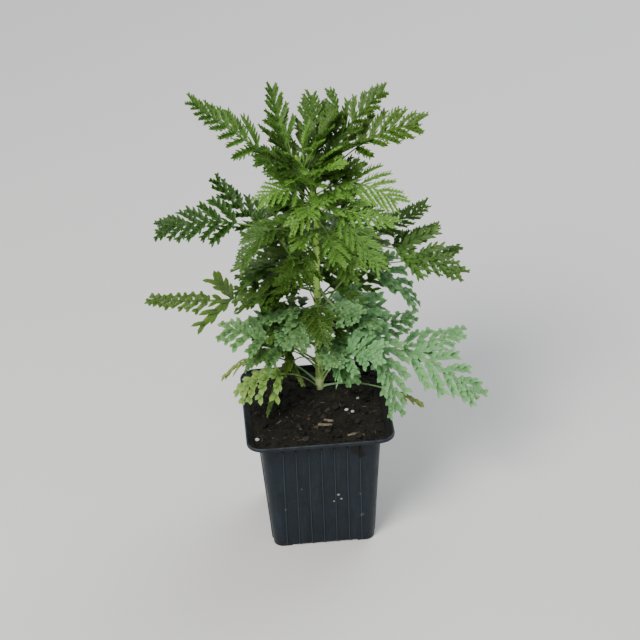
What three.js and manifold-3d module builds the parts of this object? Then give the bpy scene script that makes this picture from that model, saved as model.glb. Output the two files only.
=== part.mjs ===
// Potted sweet wormwood: a young Artemisia annua in a square nursery pot.
// Millimetres, +Z up. The origin is the middle of the pot's base on the ground, and -Y is the front.
import * as THREE from "three";
import { mergeVertices } from "three/addons/utils/BufferGeometryUtils.js";
import Module from "manifold-3d";

const wasm = await Module();
wasm.setup();

// Pot
const potHeight = 84;
const rimWidth = 90;
const rimRadius = 10;
const lipHeight = 2.3;
const lipStep = 1;
const shoulderWidth = 88;
const shoulderHeight = potHeight - lipHeight;
const bodyTopWidth = 74;
const bodyTopHeight = 77;
const bodyTopRadius = 8;
const baseWidth = 63;
const baseRadius = 6;
const wall = 1.2;
const floorUnderside = 1.5;
const floorTop = 3;
const footLength = 11;
const centrePadRadius = 8;
const drainRadius = 3.5;
const drainOffset = 15;
const ribsPerSide = 7;
const ribPitch = 7.8;
const ribWidth = 0.8;
const ribProud = 0.5;
const ribEndDrop = 1.2;

// Soil and stem
const gap = 0.3;
const soilEdge = 81;
const soilCrown = 2.4;
const soilBump = 0.6;
const pocketFloor = 73;
const stemFoot = pocketFloor + gap;
const stemLine = [
  [stemFoot, 4.1, 17.6, 2.3],
  [84, 4.1, 17.6, 2.35],
  [92, 4.1, 17.3, 2.25],
  [116, 4.3, 16.8, 2.15],
  [148, 4.8, 16.7, 2.05],
  [170, 4.7, 16.7, 1.95],
  [195, 5.6, 16.7, 1.75],
  [205, 7, 16.6, 1.7],
  [224, 4.9, 16.7, 1.5],
  [234, 1.8, 16.9, 1.35],
  [248, -5, 17.4, 0.9],
];

// Leaves: name, height on the stem, direction round the stem in degrees (0 right, 270 front),
// reach outwards, rise to the tip, arch upwards, sweep sideways, tilt of the blade in degrees,
// bare share of the stalk, pairs of leaflets, length of the first pair, length of the second pair, kind
const leafRows = [
  ["top_left", 231, 184, 65, 59, -1, -2, -24, 0.42, 5, 18, 14, "fine"],
  ["top_back", 235, 133, 23, 49, -3, 4, -6, 0.45, 4, 15, 13, "fine"],
  ["top_middle", 237, 72, 22, 38, 0, -1, 0, 0.45, 4, 13, 11, "fine"],
  ["top_centre", 238, 353, 18, 36, 3, 0, 10, 0.45, 4, 9, 8, "fine"],
  ["top_right_inner", 234, 41, 20, 50, -6, -11, 15, 0.46, 4, 11, 9, "fine"],
  ["top_right_back", 231, 5, 44, 52, 5, 1, 12, 0.46, 4, 15, 13, "fine"],
  ["top_right", 226, 343, 62, 46, 10, 0, 26, 0.42, 5, 18, 17, "fine"],
  ["tip_left", 247.8, 177, 6, 20, 3, 0, 0, 0.3, 3, 6, 5, "young"],
  ["tip_right", 245, 356, 7, 24, 1, 0, 0, 0.3, 3, 7, 6, "young"],
  ["tip_front", 240, 302, 19, 25, 3, 1, 0, 0.45, 3, 6, 5, "young"],
  ["shoot_right", 229, 314, 21, 30, 4, -2, 6, 0.45, 3, 7, 6, "young"],
  ["short_front", 223, 301, 29, 30, 7, -4, 20, 0.4, 4, 10, 8, "young"],
  ["upper_left_short", 222, 194, 32, 29, 7, 0, -30, 0.42, 4, 11, 9, "fine"],
  ["left_raised", 195, 164, 59, 33, -10, 4, -15, 0.5, 5, 13, 12, "fine"],
  ["left", 187, 186, 92, 23, 12, 3, -28, 0.5, 6, 16, 14, "fine"],
  ["left_hanging", 181, 209, 51, 9, 22, 0, -5, 0.5, 5, 11, 11, "fine"],
  ["front_left_upper", 220, 214, 37, 12, 7, 2, -25, 0.32, 5, 13, 12, "young"],
  ["front_middle", 214, 237, 29, 1, 6, 6, -15, 0.3, 4, 12, 11, "young"],
  ["right_upper", 222, 337, 50, 0, 11, -1, 22, 0.3, 6, 16, 17, "young"],
  ["right_middle", 216, 327, 50, -2, 3, -4, 15, 0.35, 5, 12, 12, "young"],
  ["right_drooping", 209, 316, 46, -24, 14, -3, 5, 0.4, 5, 12, 13, "young"],
  ["right_back", 203, 11, 66, -1, -11, 1, 10, 0.5, 5, 11, 11, "fine"],
  ["right_raised", 192, 6, 74, -2, -10, -1, 15, 0.6, 4, 9, 8, "fine"],
  ["right", 184, 345, 84, -11, 8, 3, 22, 0.56, 5, 22, 14, "fine"],
  ["far_right_back", 176, 18, 93, -15, -6, -1, 0, 0.62, 4, 9, 8, "fine"],
  ["back_left", 160, 159, 108, -26, -8, -4, -22, 0.5, 5, 26, 13, "fine"],
  ["back_left_inner", 169, 152, 50, -24, 12, 1, -10, 0.45, 4, 16, 12, "fine"],
  ["front_left_long", 149, 228, 30, 58, -1, 2, -20, 0.62, 4, 11, 9, "fine"],
  ["lower_left", 106, 194, 55, 34, 7, 6, -30, 0.38, 5, 22, 15, "broad"],
  ["front_low", 151, 270, 35, -10, 4, -1, 0, 0.35, 4, 11, 10, "broad"],
  ["front_right_low", 157, 309, 33, -5, -4, -1, 25, 0.35, 4, 11, 10, "broad"],
  ["front_left_low", 142, 231, 26, -3, 5, 1, -20, 0.35, 4, 10, 9, "broad"],
  ["right_arching", 141, 359, 56, 1, 24, 5, 15, 0.55, 5, 15, 13, "broad"],
  ["right_low_back", 120, 12, 59, 4, -3, 0, 10, 0.62, 3, 11, 9, "broad"],
  ["lower_right_raised", 114, 2, 86, 1, -6, 0, 15, 0.58, 4, 12, 11, "broad"],
  ["lower_right", 106, 345, 96, -21, 17, 5, 22, 0.56, 4, 17, 16, "broad"],
  ["lower_right_hanging", 95, 314, 58, -4, 34, 12, 0, 0.52, 5, 13, 15, "broad"],
  ["lower_front", 91, 315, 45, 39, 9, -5, 42, 0.38, 4, 15, 15, "broad"],
  ["middle_right", 129, 334, 38, 3, 18, 0, 20, 0.35, 5, 14, 14, "broad"],
  ["low_left_front", 87, 217, 58, 24, 12, 4, -20, 0.54, 3, 20, 15, "broad"],
  ["low_left_dark", 101, 205, 47, 17, 14, 3, -20, 0.42, 5, 10, 11, "broad"],
  ["old_left", 90, 176, 56, 5, 16, 0, 0, 0.74, 3, 10, 7, "old"],
  ["old_right", 86, 337, 63, -3, 10, -4, 0, 0.78, 2, 7, 5, "old"],
  ["back_upper", 210, 98, 46, 10, 6, 3, 0, 0.36, 5, 17, 14, "fine"],
  ["back_middle", 177, 72, 60, -8, 8, -3, 0, 0.4, 5, 20, 16, "fine"],
  ["back_low", 124, 56, 58, -4, 6, -4, 0, 0.4, 5, 20, 16, "broad"],
  ["back_left_low", 114, 128, 52, -2, 8, 4, 0, 0.42, 5, 18, 15, "broad"],
];
const leafColours = { fine: 0x4f8a2c, young: 0x7cb33f, broad: 0x6fa26b, old: 0xa9a548 };
const stalkHalfWidth = 0.75;
const stalkTipHalfWidth = 0.35;
const stalkHalfThickness = 0.5;
const bladeHalfThickness = 0.27;
const leafletShare = 0.6;
const leafletMaxHalfWidth = 2.3;
const leafletSlimness = 0.25;
const leafletRootHalf = 0.8;
const leafletDroop = 0.14;
const leafletLean = 0.14;

// Grains and chips lying on the soil: name, x, y, length, width, height, turn in degrees
const grainRows = [
  ["perlite_left", -38.2, -30, 3.4, 2.6, 2.2, 20],
  ["perlite_right", 18.5, -5.5, 3.4, 2.4, 1.8, 10],
  ["perlite_front", 22, -8.5, 2.4, 2.4, 2, 50],
  ["perlite_back", 26.5, 6, 2.6, 2, 1.8, 70],
];
const chipRows = [
  ["bark_chip_front", 4, -20, 9, 1.6, 1.2, -8],
  ["bark_chip_middle", 6.5, -15.5, 6.5, 1.5, 1.2, -20],
  ["bark_chip_right", 19.5, -31.5, 6, 2, 1.4, 18],
];

const up = new THREE.Vector3(0, 0, 1);

// A closed body from rings of points: each ring joins the next, and the first and last are filled.
function loft(rings) {
  const count = rings[0].length;
  const positions = [];
  const indices = [];
  rings.forEach((ring) => ring.forEach((p) => positions.push(p.x, p.y, p.z)));
  for (let k = 0; k < rings.length - 1; k += 1) {
    for (let i = 0; i < count; i += 1) {
      const a = k * count + i;
      const b = k * count + ((i + 1) % count);
      indices.push(a, b, b + count, a, b + count, a + count);
    }
  }
  [rings[0], rings[rings.length - 1]].forEach((ring, end) => {
    const centre = ring.reduce((sum, p) => sum.add(p), new THREE.Vector3()).divideScalar(count);
    const hub = positions.length / 3;
    positions.push(centre.x, centre.y, centre.z);
    const start = end === 0 ? 0 : (rings.length - 1) * count;
    for (let i = 0; i < count; i += 1) {
      const a = start + i;
      const b = start + ((i + 1) % count);
      if (end === 0) indices.push(hub, b, a);
      else indices.push(hub, a, b);
    }
  });
  const geometry = new THREE.BufferGeometry();
  geometry.setAttribute("position", new THREE.Float32BufferAttribute(positions, 3));
  geometry.setIndex(indices);
  return geometry;
}

// A square with rounded corners at one height, counter-clockwise seen from above.
// Each corner has arcs + 1 points, and each straight side has as many between corners as asked.
function roundedSquare(width, radius, height, arcs, between = 0) {
  const points = [];
  const reach = width / 2 - radius;
  for (let corner = 0; corner < 4; corner += 1) {
    const middle = ((corner + 0.5) * Math.PI) / 2;
    const centre = new THREE.Vector3(Math.cos(middle), Math.sin(middle), 0).multiplyScalar(Math.SQRT2 * reach);
    centre.z = height;
    for (let i = 0; i <= arcs; i += 1) {
      const angle = ((corner + i / arcs) * Math.PI) / 2;
      const spoke = new THREE.Vector3(Math.cos(angle), Math.sin(angle), 0).multiplyScalar(radius);
      points.push(centre.clone().add(spoke));
    }
    const along = new THREE.Vector3(-Math.sin(middle + Math.PI / 4), Math.cos(middle + Math.PI / 4), 0);
    const from = points[points.length - 1];
    for (let i = 1; i <= between; i += 1) {
      points.push(from.clone().addScaledVector(along, (2 * reach * i) / (between + 1)));
    }
  }
  return points;
}

function toSolid(geometry) {
  const bare = geometry.clone();
  bare.deleteAttribute("normal");
  bare.deleteAttribute("uv");
  const merged = mergeVertices(bare, 1e-4);
  return new wasm.Manifold(
    new wasm.Mesh({
      numProp: 3,
      vertProperties: new Float32Array(merged.attributes.position.array),
      triVerts: new Uint32Array(merged.index.array),
    }),
  );
}

function toGeometry(solid) {
  const mesh = solid.getMesh();
  const geometry = new THREE.BufferGeometry();
  geometry.setAttribute("position", new THREE.Float32BufferAttribute(mesh.vertProperties, 3));
  geometry.setIndex(Array.from(mesh.triVerts));
  return geometry;
}

// Width and corner radius of the pot's outside at a height of the tapered body.
function bodyAt(height) {
  const share = height / bodyTopHeight;
  return {
    width: THREE.MathUtils.lerp(baseWidth, bodyTopWidth, share),
    radius: THREE.MathUtils.lerp(baseRadius, bodyTopRadius, share),
  };
}

// The pot is one moulded shell: tapered body, flared shoulder, upright lip, ribbed sides.
function potGeometry() {
  const arcs = 4;
  const base = bodyAt(0);
  let shell = toSolid(
    loft([
      roundedSquare(base.width, base.radius, 0, arcs),
      roundedSquare(bodyTopWidth, bodyTopRadius, bodyTopHeight, arcs),
      roundedSquare(shoulderWidth, rimRadius - lipStep, shoulderHeight, arcs),
      roundedSquare(rimWidth, rimRadius, shoulderHeight, arcs),
      roundedSquare(rimWidth, rimRadius, potHeight, arcs),
    ]),
  );
  for (let side = 0; side < 4; side += 1) {
    for (let rib = 0; rib < ribsPerSide; rib += 1) {
      const across = (rib - (ribsPerSide - 1) / 2) * ribPitch;
      shell = shell.add(toSolid(ribGeometry(across, side)));
    }
  }
  const inside = bodyAt(floorTop);
  const cavity = loft([
    roundedSquare(inside.width - 2 * wall, inside.radius - wall, floorTop, arcs),
    roundedSquare(bodyTopWidth - 2 * wall, bodyTopRadius - wall, bodyTopHeight + wall / 2, arcs),
    roundedSquare(rimWidth - 2 * wall, rimRadius - wall, shoulderHeight + wall, arcs),
    roundedSquare(rimWidth - 2 * wall, rimRadius - wall, potHeight + 1, arcs),
  ]);
  shell = shell.subtract(toSolid(cavity));
  const slotWidth = baseWidth - 2 * footLength;
  const alongX = new THREE.BoxGeometry(rimWidth, slotWidth, 2 * floorUnderside);
  const alongY = new THREE.BoxGeometry(slotWidth, rimWidth, 2 * floorUnderside);
  shell = shell.subtract(toSolid(alongX).add(toSolid(alongY)));
  const pad = new THREE.CylinderGeometry(centrePadRadius, centrePadRadius, floorUnderside + 0.5, 24);
  pad.rotateX(Math.PI / 2);
  pad.translate(0, 0, (floorUnderside + 0.5) / 2);
  shell = shell.add(toSolid(pad));
  for (const x of [-drainOffset, drainOffset]) {
    for (const y of [-drainOffset, drainOffset]) {
      const drain = new THREE.CylinderGeometry(drainRadius, drainRadius, 3 * floorTop, 12);
      drain.rotateX(Math.PI / 2);
      drain.translate(x, y, floorTop);
      shell = shell.subtract(toSolid(drain));
    }
  }
  return toGeometry(shell);
}

// One thin upright rib, a bar with its back buried in the wall, leaning with the side.
function ribGeometry(across, side) {
  const rings = [ribEndDrop, bodyTopHeight - ribEndDrop].map((height) => {
    const face = bodyAt(height).width / 2;
    const half = ribWidth / 2;
    return [
      new THREE.Vector3(across - half, -face - ribProud, height),
      new THREE.Vector3(across + half, -face - ribProud, height),
      new THREE.Vector3(across + half, -face + wall / 2, height),
      new THREE.Vector3(across - half, -face + wall / 2, height),
    ];
  });
  const rib = loft(rings);
  rib.rotateZ((side * Math.PI) / 2);
  return rib;
}

function stemAt(height) {
  const next = Math.max(1, stemLine.findIndex((row) => row[0] >= height));
  const a = stemLine[next - 1];
  const b = stemLine[next];
  const share = (height - a[0]) / (b[0] - a[0]);
  return {
    point: new THREE.Vector3(
      THREE.MathUtils.lerp(a[1], b[1], share),
      THREE.MathUtils.lerp(a[2], b[2], share),
      height,
    ),
    radius: THREE.MathUtils.lerp(a[3], b[3], share),
  };
}

// The stem is one tapering shoot from its pocket in the soil to the growing tip.
function stemGeometry() {
  const sides = 10;
  const rings = stemLine.map(([height, x, y, radius]) => {
    const ring = [];
    for (let i = 0; i < sides; i += 1) {
      const angle = (i / sides) * 2 * Math.PI;
      ring.push(new THREE.Vector3(x + radius * Math.cos(angle), y + radius * Math.sin(angle), height));
    }
    return ring;
  });
  return loft(rings);
}

// Height of the soil at a point: level at the walls, crowned round the stem, gently lumpy.
function soilAt(x, y) {
  const foot = stemAt(soilEdge).point;
  const away = Math.hypot(x - foot.x, y - foot.y) / (rimWidth / 2);
  const crown = soilCrown * Math.exp(-3 * away * away);
  const lumps = Math.sin(0.31 * x + 1.3) * Math.sin(0.27 * y - 0.4) + 0.6 * Math.sin(0.52 * x - 0.45 * y);
  return soilEdge + crown + soilBump * lumps;
}

// The soil fills the pot as one moulded plug and keeps a round pocket for the stem.
function soilGeometry() {
  const arcs = 3;
  const between = 5;
  const inside = bodyAt(floorTop);
  const lower = roundedSquare(
    inside.width - 2 * (wall + gap),
    inside.radius - wall - gap,
    floorTop + gap,
    arcs,
    between,
  );
  const upper = roundedSquare(
    bodyTopWidth - 2 * (wall + gap),
    bodyTopRadius - wall - gap,
    bodyTopHeight + wall / 2,
    arcs,
    between,
  );
  const edgeHeight = soilEdge - soilBump;
  const flareFoot = bodyTopHeight + wall / 2;
  const flare = (edgeHeight - flareFoot) / (shoulderHeight + wall - flareFoot);
  const edgeWidth = THREE.MathUtils.lerp(bodyTopWidth, rimWidth, flare) - 2 * wall - 4 * gap;
  const edgeRadius = THREE.MathUtils.lerp(bodyTopRadius, rimRadius, flare) - wall - gap;
  const edge = roundedSquare(edgeWidth, edgeRadius, edgeHeight, arcs, between);
  const foot = stemAt(soilEdge);
  const pocketRadius = foot.radius + gap + 0.05;
  const pocket = edge.map((p, i) => {
    const angle = Math.PI / 4 + ((i - arcs / 2) / edge.length) * 2 * Math.PI;
    return new THREE.Vector3(
      foot.point.x + pocketRadius * Math.cos(angle),
      foot.point.y + pocketRadius * Math.sin(angle),
      0,
    );
  });
  const rings = [lower, upper, edge];
  for (const share of [0.06, 0.25, 0.45, 0.65, 0.85, 1]) {
    rings.push(
      edge.map((p, i) => {
        const q = p.clone().lerp(pocket[i], share);
        q.z = share < 0.1 ? Math.max(soilEdge, soilAt(q.x, q.y)) : soilAt(q.x, q.y);
        return q;
      }),
    );
  }
  rings.push(pocket.map((p) => new THREE.Vector3(p.x, p.y, pocketFloor)));
  return loft(rings);
}

// Leaf midrib: point, forward direction, sideways direction and upper-face normal at a share t.
function midrib(row, t) {
  const [, height, turn, reach, rise, arch, sweep, tilt] = row;
  const angle = THREE.MathUtils.degToRad(turn);
  const out = new THREE.Vector3(Math.cos(angle), Math.sin(angle), 0);
  const side = new THREE.Vector3(-Math.sin(angle), Math.cos(angle), 0);
  const root = stemAt(height);
  const hump = 4 * t * (1 - t);
  const slope = 4 * (1 - 2 * t);
  const steepness = Math.abs(rise + 4 * arch) / Math.hypot(reach, rise + 4 * arch);
  const point = root.point.clone();
  point.addScaledVector(out, root.radius + gap + stalkHalfThickness * steepness + reach * t);
  point.addScaledVector(side, sweep * hump);
  point.addScaledVector(up, rise * t + arch * hump);
  const forward = out.clone().multiplyScalar(reach);
  forward.addScaledVector(side, sweep * slope);
  forward.addScaledVector(up, rise + arch * slope);
  forward.normalize();
  const across = side.clone().addScaledVector(forward, -side.dot(forward)).normalize();
  across.applyAxisAngle(forward, THREE.MathUtils.degToRad(tilt));
  const normal = new THREE.Vector3().crossVectors(forward, across).normalize();
  return { point, forward, across, normal };
}

// A leaf is one thin branching sheet: the stalk and midrib, and leaflets in pairs along it.
function leafGeometry(row) {
  const [, , , reach, rise, , , , bare, pairs, first, rest] = row;
  const length = Math.hypot(reach, rise);
  const pitch = ((1 - bare) * length) / pairs;
  const halfWidth = Math.min(leafletMaxHalfWidth, (leafletShare * pitch) / 2);
  const rootHalf = Math.min(leafletRootHalf, 0.5 * halfWidth);
  const verts = [];
  const quads = [];
  const addVert = (point, normal, half) => verts.push({ point, normal, half }) - 1;
  const addStation = (t) => {
    const at = midrib(row, t);
    const width = THREE.MathUtils.lerp(stalkHalfWidth, stalkTipHalfWidth, t);
    const half = THREE.MathUtils.lerp(stalkHalfThickness, bladeHalfThickness, Math.min(1, t / bare));
    const left = addVert(at.point.clone().addScaledVector(at.across, width), at.normal, half);
    const right = addVert(at.point.clone().addScaledVector(at.across, -width), at.normal, half);
    return { left, right };
  };
  let last = addStation(0);
  const advance = (t) => {
    const next = addStation(t);
    quads.push([last.right, next.right, next.left, last.left]);
    const before = last;
    last = next;
    return { before, next };
  };
  const stalkSteps = length * bare > 25 ? 3 : 2;
  for (let i = 1; i < stalkSteps; i += 1) advance((bare * i) / stalkSteps);
  for (let pair = 0; pair < pairs; pair += 1) {
    const share = pair / pairs;
    const t = bare + (1 - bare) * share ** 0.9;
    advance(t - rootHalf / length);
    const { before, next } = advance(t + rootHalf / length);
    const at = midrib(row, t);
    const reachOut = pair === 0 ? first : rest * (1 - (0.7 * (pair - 1)) / (pairs - 1));
    const spread = THREE.MathUtils.degToRad(62 - 18 * share);
    for (const hand of [1, -1]) {
      const way = at.forward.clone().multiplyScalar(Math.cos(spread));
      way.addScaledVector(at.across, hand * Math.sin(spread));
      const breadth = new THREE.Vector3().crossVectors(at.normal, way).multiplyScalar(hand);
      const station = (share2, width) => {
        const bend = share2 * share2 * reachOut;
        const centre = at.point.clone().addScaledVector(way, reachOut * share2);
        centre.addScaledVector(up, -leafletDroop * bend);
        centre.addScaledVector(at.forward, leafletLean * bend);
        const near = addVert(centre.clone().addScaledVector(breadth, width), at.normal, bladeHalfThickness);
        const far = addVert(centre.clone().addScaledVector(breadth, -width), at.normal, bladeHalfThickness);
        return [near, far];
      };
      const rootPair = hand === 1 ? [before.left, next.left] : [before.right, next.right];
      const middle = station(0.5, Math.min(halfWidth, leafletSlimness * reachOut));
      const end = station(1, 0.3);
      for (const [inner, outer] of [
        [rootPair, middle],
        [middle, end],
      ]) {
        const quad = [inner[0], inner[1], outer[1], outer[0]];
        quads.push(hand === 1 ? quad : quad.reverse());
      }
    }
  }
  advance(1);
  return thicken(verts, quads);
}

// Gives a sheet of quads its thickness: an upper face, a lower face and an edge all round.
function thicken(verts, quads) {
  const positions = [];
  for (const sign of [1, -1]) {
    for (const { point, normal, half } of verts) {
      const p = point.clone().addScaledVector(normal, sign * half);
      positions.push(p.x, p.y, p.z);
    }
  }
  const under = verts.length;
  const indices = [];
  const edges = new Map();
  for (const [a, b, c, d] of quads) {
    indices.push(a, b, c, a, c, d);
    indices.push(c + under, b + under, a + under, d + under, c + under, a + under);
    for (const [i, j] of [
      [a, b],
      [b, c],
      [c, d],
      [d, a],
    ]) {
      if (edges.has(`${j}-${i}`)) edges.delete(`${j}-${i}`);
      else edges.set(`${i}-${j}`, [i, j]);
    }
  }
  for (const [i, j] of edges.values()) {
    indices.push(j, i, i + under, j, i + under, j + under);
  }
  const geometry = new THREE.BufferGeometry();
  geometry.setAttribute("position", new THREE.Float32BufferAttribute(positions, 3));
  geometry.setIndex(indices);
  return geometry;
}

const plant = new THREE.Group();

function place(name, geometry, colour, roughness) {
  const material = new THREE.MeshStandardMaterial({ color: colour, roughness, metalness: 0 });
  const mesh = new THREE.Mesh(geometry, material);
  mesh.name = name;
  plant.add(mesh);
  return mesh;
}

place("pot", potGeometry(), 0x22282c, 0.45);
const soil = place("soil", soilGeometry(), 0x1d1815, 0.95);
place("stem", stemGeometry(), 0xa9c25f, 0.6);
for (const row of leafRows) {
  place(`leaf_${row[0]}`, leafGeometry(row), leafColours[row[12]], 0.6);
}

// The highest soil under a small flat piece, felt at nine points of its outline.
function restHeight(x, y, length, width, turn) {
  const angle = THREE.MathUtils.degToRad(turn);
  const down = new THREE.Vector3(0, 0, -1);
  let highest = 0;
  for (const a of [-0.5, 0, 0.5]) {
    for (const b of [-0.5, 0, 0.5]) {
      const px = x + a * length * Math.cos(angle) - b * width * Math.sin(angle);
      const py = y + a * length * Math.sin(angle) + b * width * Math.cos(angle);
      const from = new THREE.Vector3(px, py, potHeight + 10);
      const hits = new THREE.Raycaster(from, down).intersectObject(soil);
      if (hits.length > 0) highest = Math.max(highest, hits[0].point.z);
    }
  }
  return highest;
}

function lay(piece, [, x, y, length, width, height, turn]) {
  piece.rotation.z = THREE.MathUtils.degToRad(turn);
  piece.position.set(x, y, restHeight(x, y, length, width, turn) + height / 2 + gap / 2);
}

for (const row of grainRows) {
  const grain = place(row[0], new THREE.IcosahedronGeometry(0.5, 0), 0xd9d8c8, 0.8);
  grain.scale.set(row[3], row[4], row[5]);
  lay(grain, row);
}
for (const row of chipRows) {
  lay(place(row[0], new THREE.BoxGeometry(row[3], row[4], row[5]), 0x8a6f4a, 0.85), row);
}

export default plant;
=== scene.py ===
import math
import random

import bmesh
import bpy
import numpy as np
from mathutils import Matrix, Vector, noise


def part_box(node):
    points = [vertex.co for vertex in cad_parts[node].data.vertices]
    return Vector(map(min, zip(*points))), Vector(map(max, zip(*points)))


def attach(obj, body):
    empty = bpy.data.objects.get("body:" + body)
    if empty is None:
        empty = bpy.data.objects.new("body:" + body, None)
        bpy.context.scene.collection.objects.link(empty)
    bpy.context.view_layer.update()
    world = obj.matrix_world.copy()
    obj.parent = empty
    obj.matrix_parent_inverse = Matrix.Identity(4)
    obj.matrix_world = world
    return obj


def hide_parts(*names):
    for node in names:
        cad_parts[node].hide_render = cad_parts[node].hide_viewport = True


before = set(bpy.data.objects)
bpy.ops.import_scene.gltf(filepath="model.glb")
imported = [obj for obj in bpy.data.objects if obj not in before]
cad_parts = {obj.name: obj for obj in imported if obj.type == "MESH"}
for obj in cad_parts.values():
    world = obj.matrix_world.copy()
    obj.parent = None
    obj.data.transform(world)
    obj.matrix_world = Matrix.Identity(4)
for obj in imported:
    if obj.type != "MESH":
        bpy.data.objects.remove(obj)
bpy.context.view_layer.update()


# ------------------------------
# Pot
# A square nursery pot, injection moulded in one piece from slate-black polypropylene.
# Thin tapered sides with seven fine ribs each, a flared shoulder and an upright rolled lip,
# standing on four corner feet with a round gate pad and four drain holes in the floor.

MM = 0.001
LIP_WIDTH = 90.0
BODY_TOP_WIDTH, BODY_TOP_RADIUS, BODY_TOP = 74.0, 8.0, 77.0
BASE_WIDTH, BASE_RADIUS = 63.0, 6.0
WALL = 1.2
FLOOR_TOP = 3.0
FOOT_LENGTH, FOOT_DROP = 11.0, 1.5
DRAIN_OFFSET, DRAIN_RADIUS = 15.0, 3.5
RIBS, RIB_PITCH, RIB_PROUD = 7, 7.8, 0.7
RIB_HALF = [(0.62, 0), (0.44, 0.4), (0.3, 0.88), (0.12, 1)]  # place across the rib, share of its height
RIB_PROFILE = [(-across, proud) for across, proud in RIB_HALF] + RIB_HALF[::-1]
CORNER_STEPS = 10
GATE_PAD_RADIUS = 8


def body_at(z):
    """Width and corner radius of the tapered body's outside at a height."""
    share = z / BODY_TOP
    width = BASE_WIDTH + (BODY_TOP_WIDTH - BASE_WIDTH) * share
    return width, BASE_RADIUS + (BODY_TOP_RADIUS - BASE_RADIUS) * share


def square_ring(width, radius, z, rib=0.0):
    """A rounded square at one height, with a rib profile of the given strength on each side."""
    ring = []
    reach = width / 2 - radius
    for side in range(4):
        c, s = math.cos(side * math.pi / 2), math.sin(side * math.pi / 2)
        row = [
            ((k - (RIBS - 1) / 2) * RIB_PITCH + offset, -width / 2 - proud * RIB_PROUD * rib)
            for k in range(RIBS)
            for offset, proud in RIB_PROFILE
        ]
        for k in range(CORNER_STEPS + 1):
            a = math.radians(-90 + 90 * k / CORNER_STEPS)
            row.append((reach + radius * math.cos(a), -reach + radius * math.sin(a)))
        ring += [(x * c - y * s, x * s + y * c, z) for x, y in row]
    return ring


def rib_crests(rib):
    """How far up a rib each point of a square_ring lies, from 0 to 1."""
    side = [proud * rib for _ in range(RIBS) for _, proud in RIB_PROFILE] + [0.0] * (CORNER_STEPS + 1)
    return side * 4


def ring_faces(count, rings):
    """Faces between rings of count points each, with a cap at both ends."""
    faces = []
    for k in range(rings - 1):
        for i in range(count):
            j = (i + 1) % count
            faces.append((k * count + i, k * count + j, (k + 1) * count + j, (k + 1) * count + i))
    return faces + [tuple(reversed(range(count))), tuple(range((rings - 1) * count, rings * count))]


def skin(rings):
    """Points and faces of a closed body from rings with the same number of points."""
    return [p for ring in rings for p in ring], ring_faces(len(rings[0]), len(rings))


def new_piece(name, points, faces, sharp_angle=40, values=None):
    """A mesh object from points in millimetres, smooth shaded except at edges over sharp_angle."""
    mesh = bpy.data.meshes.new(name)
    mesh.from_pydata((np.asarray(points, float) * MM).tolist(), [], faces)
    for key, data in (values or {}).items():
        layer = mesh.attributes.new(key, "FLOAT", "POINT")
        layer.data.foreach_set("value", np.asarray(data, np.float32))
    mesh.validate()
    mesh.shade_smooth()
    mesh.set_sharp_from_angle(angle=math.radians(sharp_angle))
    piece = bpy.data.objects.new(name, mesh)
    bpy.context.scene.collection.objects.link(piece)
    return piece


def cut(piece, tool_points, tool_faces, operation="DIFFERENCE"):
    """Joins or cuts a piece with a closed tool body, and keeps the result as the piece's mesh."""
    tool = new_piece("cutting_tool", tool_points, tool_faces)
    step = piece.modifiers.new("cut", "BOOLEAN")
    step.object, step.operation, step.solver = tool, operation, "EXACT"
    made = bpy.data.meshes.new_from_object(piece.evaluated_get(bpy.context.evaluated_depsgraph_get()))
    piece.modifiers.remove(step)
    old = piece.data
    piece.data = made
    bpy.data.meshes.remove(old)
    bpy.data.objects.remove(tool)


def feed(tree, made, inputs):
    """Sets the inputs of a node. Each is a value or a socket to link."""
    for key, value in inputs.items():
        if isinstance(value, bpy.types.NodeSocket):
            tree.links.new(value, made.inputs[key])
        else:
            made.inputs[key].default_value = value


def node(tree, kind, inputs, **settings):
    made = tree.nodes.new("ShaderNode" + kind)
    for key, value in settings.items():
        setattr(made, key, value)
    feed(tree, made, inputs)
    return made


def mix(tree, share, a, b):
    """A colour between a and b, which are sockets or red, green and blue."""
    a, b = ((*c, 1) if isinstance(c, tuple) else c for c in (a, b))
    return node(tree, "Mix", {0: share, 6: a, 7: b}, data_type="RGBA").outputs[2]


def maths(tree, operation, a, b, clamp=False):
    return node(tree, "Math", {0: a, 1: b}, operation=operation, use_clamp=clamp).outputs[0]


def times(tree, a, b):
    return maths(tree, "MULTIPLY", a, b)


def height_of(tree, kind, output):
    """The Z part of a place or a normal on the surface."""
    return node(tree, "SeparateXYZ", {0: node(tree, kind, {}).outputs[output]}).outputs["Z"]


def point_value(tree, name):
    """A value stored at the points of the mesh."""
    return node(tree, "Attribute", {}, attribute_name=name).outputs["Fac"]


def ramp(tree, value, low, high, out_low=0.0, out_high=1.0):
    """A value read from low to high as out_low to out_high, smoothly and held at the ends."""
    limits = {"From Min": low, "From Max": high, "To Min": out_low, "To Max": out_high}
    made = node(tree, "MapRange", {"Value": value, **limits}, interpolation_type="SMOOTHSTEP")
    return made.outputs["Result"]


def new_group(name, inputs, outputs):
    """A shader node group with named sockets, and its inner input and output sockets."""
    group = bpy.data.node_groups.new(name, "ShaderNodeTree")
    for label, kind, value in inputs:
        socket = group.interface.new_socket(label, in_out="INPUT", socket_type="NodeSocket" + kind)
        socket.default_value = value
    for label, kind in outputs:
        group.interface.new_socket(label, in_out="OUTPUT", socket_type="NodeSocket" + kind)
    return group, group.nodes.new("NodeGroupInput").outputs, group.nodes.new("NodeGroupOutput").inputs


def place_group(tree, group, inputs):
    made = tree.nodes.new("ShaderNodeGroup")
    made.node_tree = group
    feed(tree, made, inputs)
    return made.outputs


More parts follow.
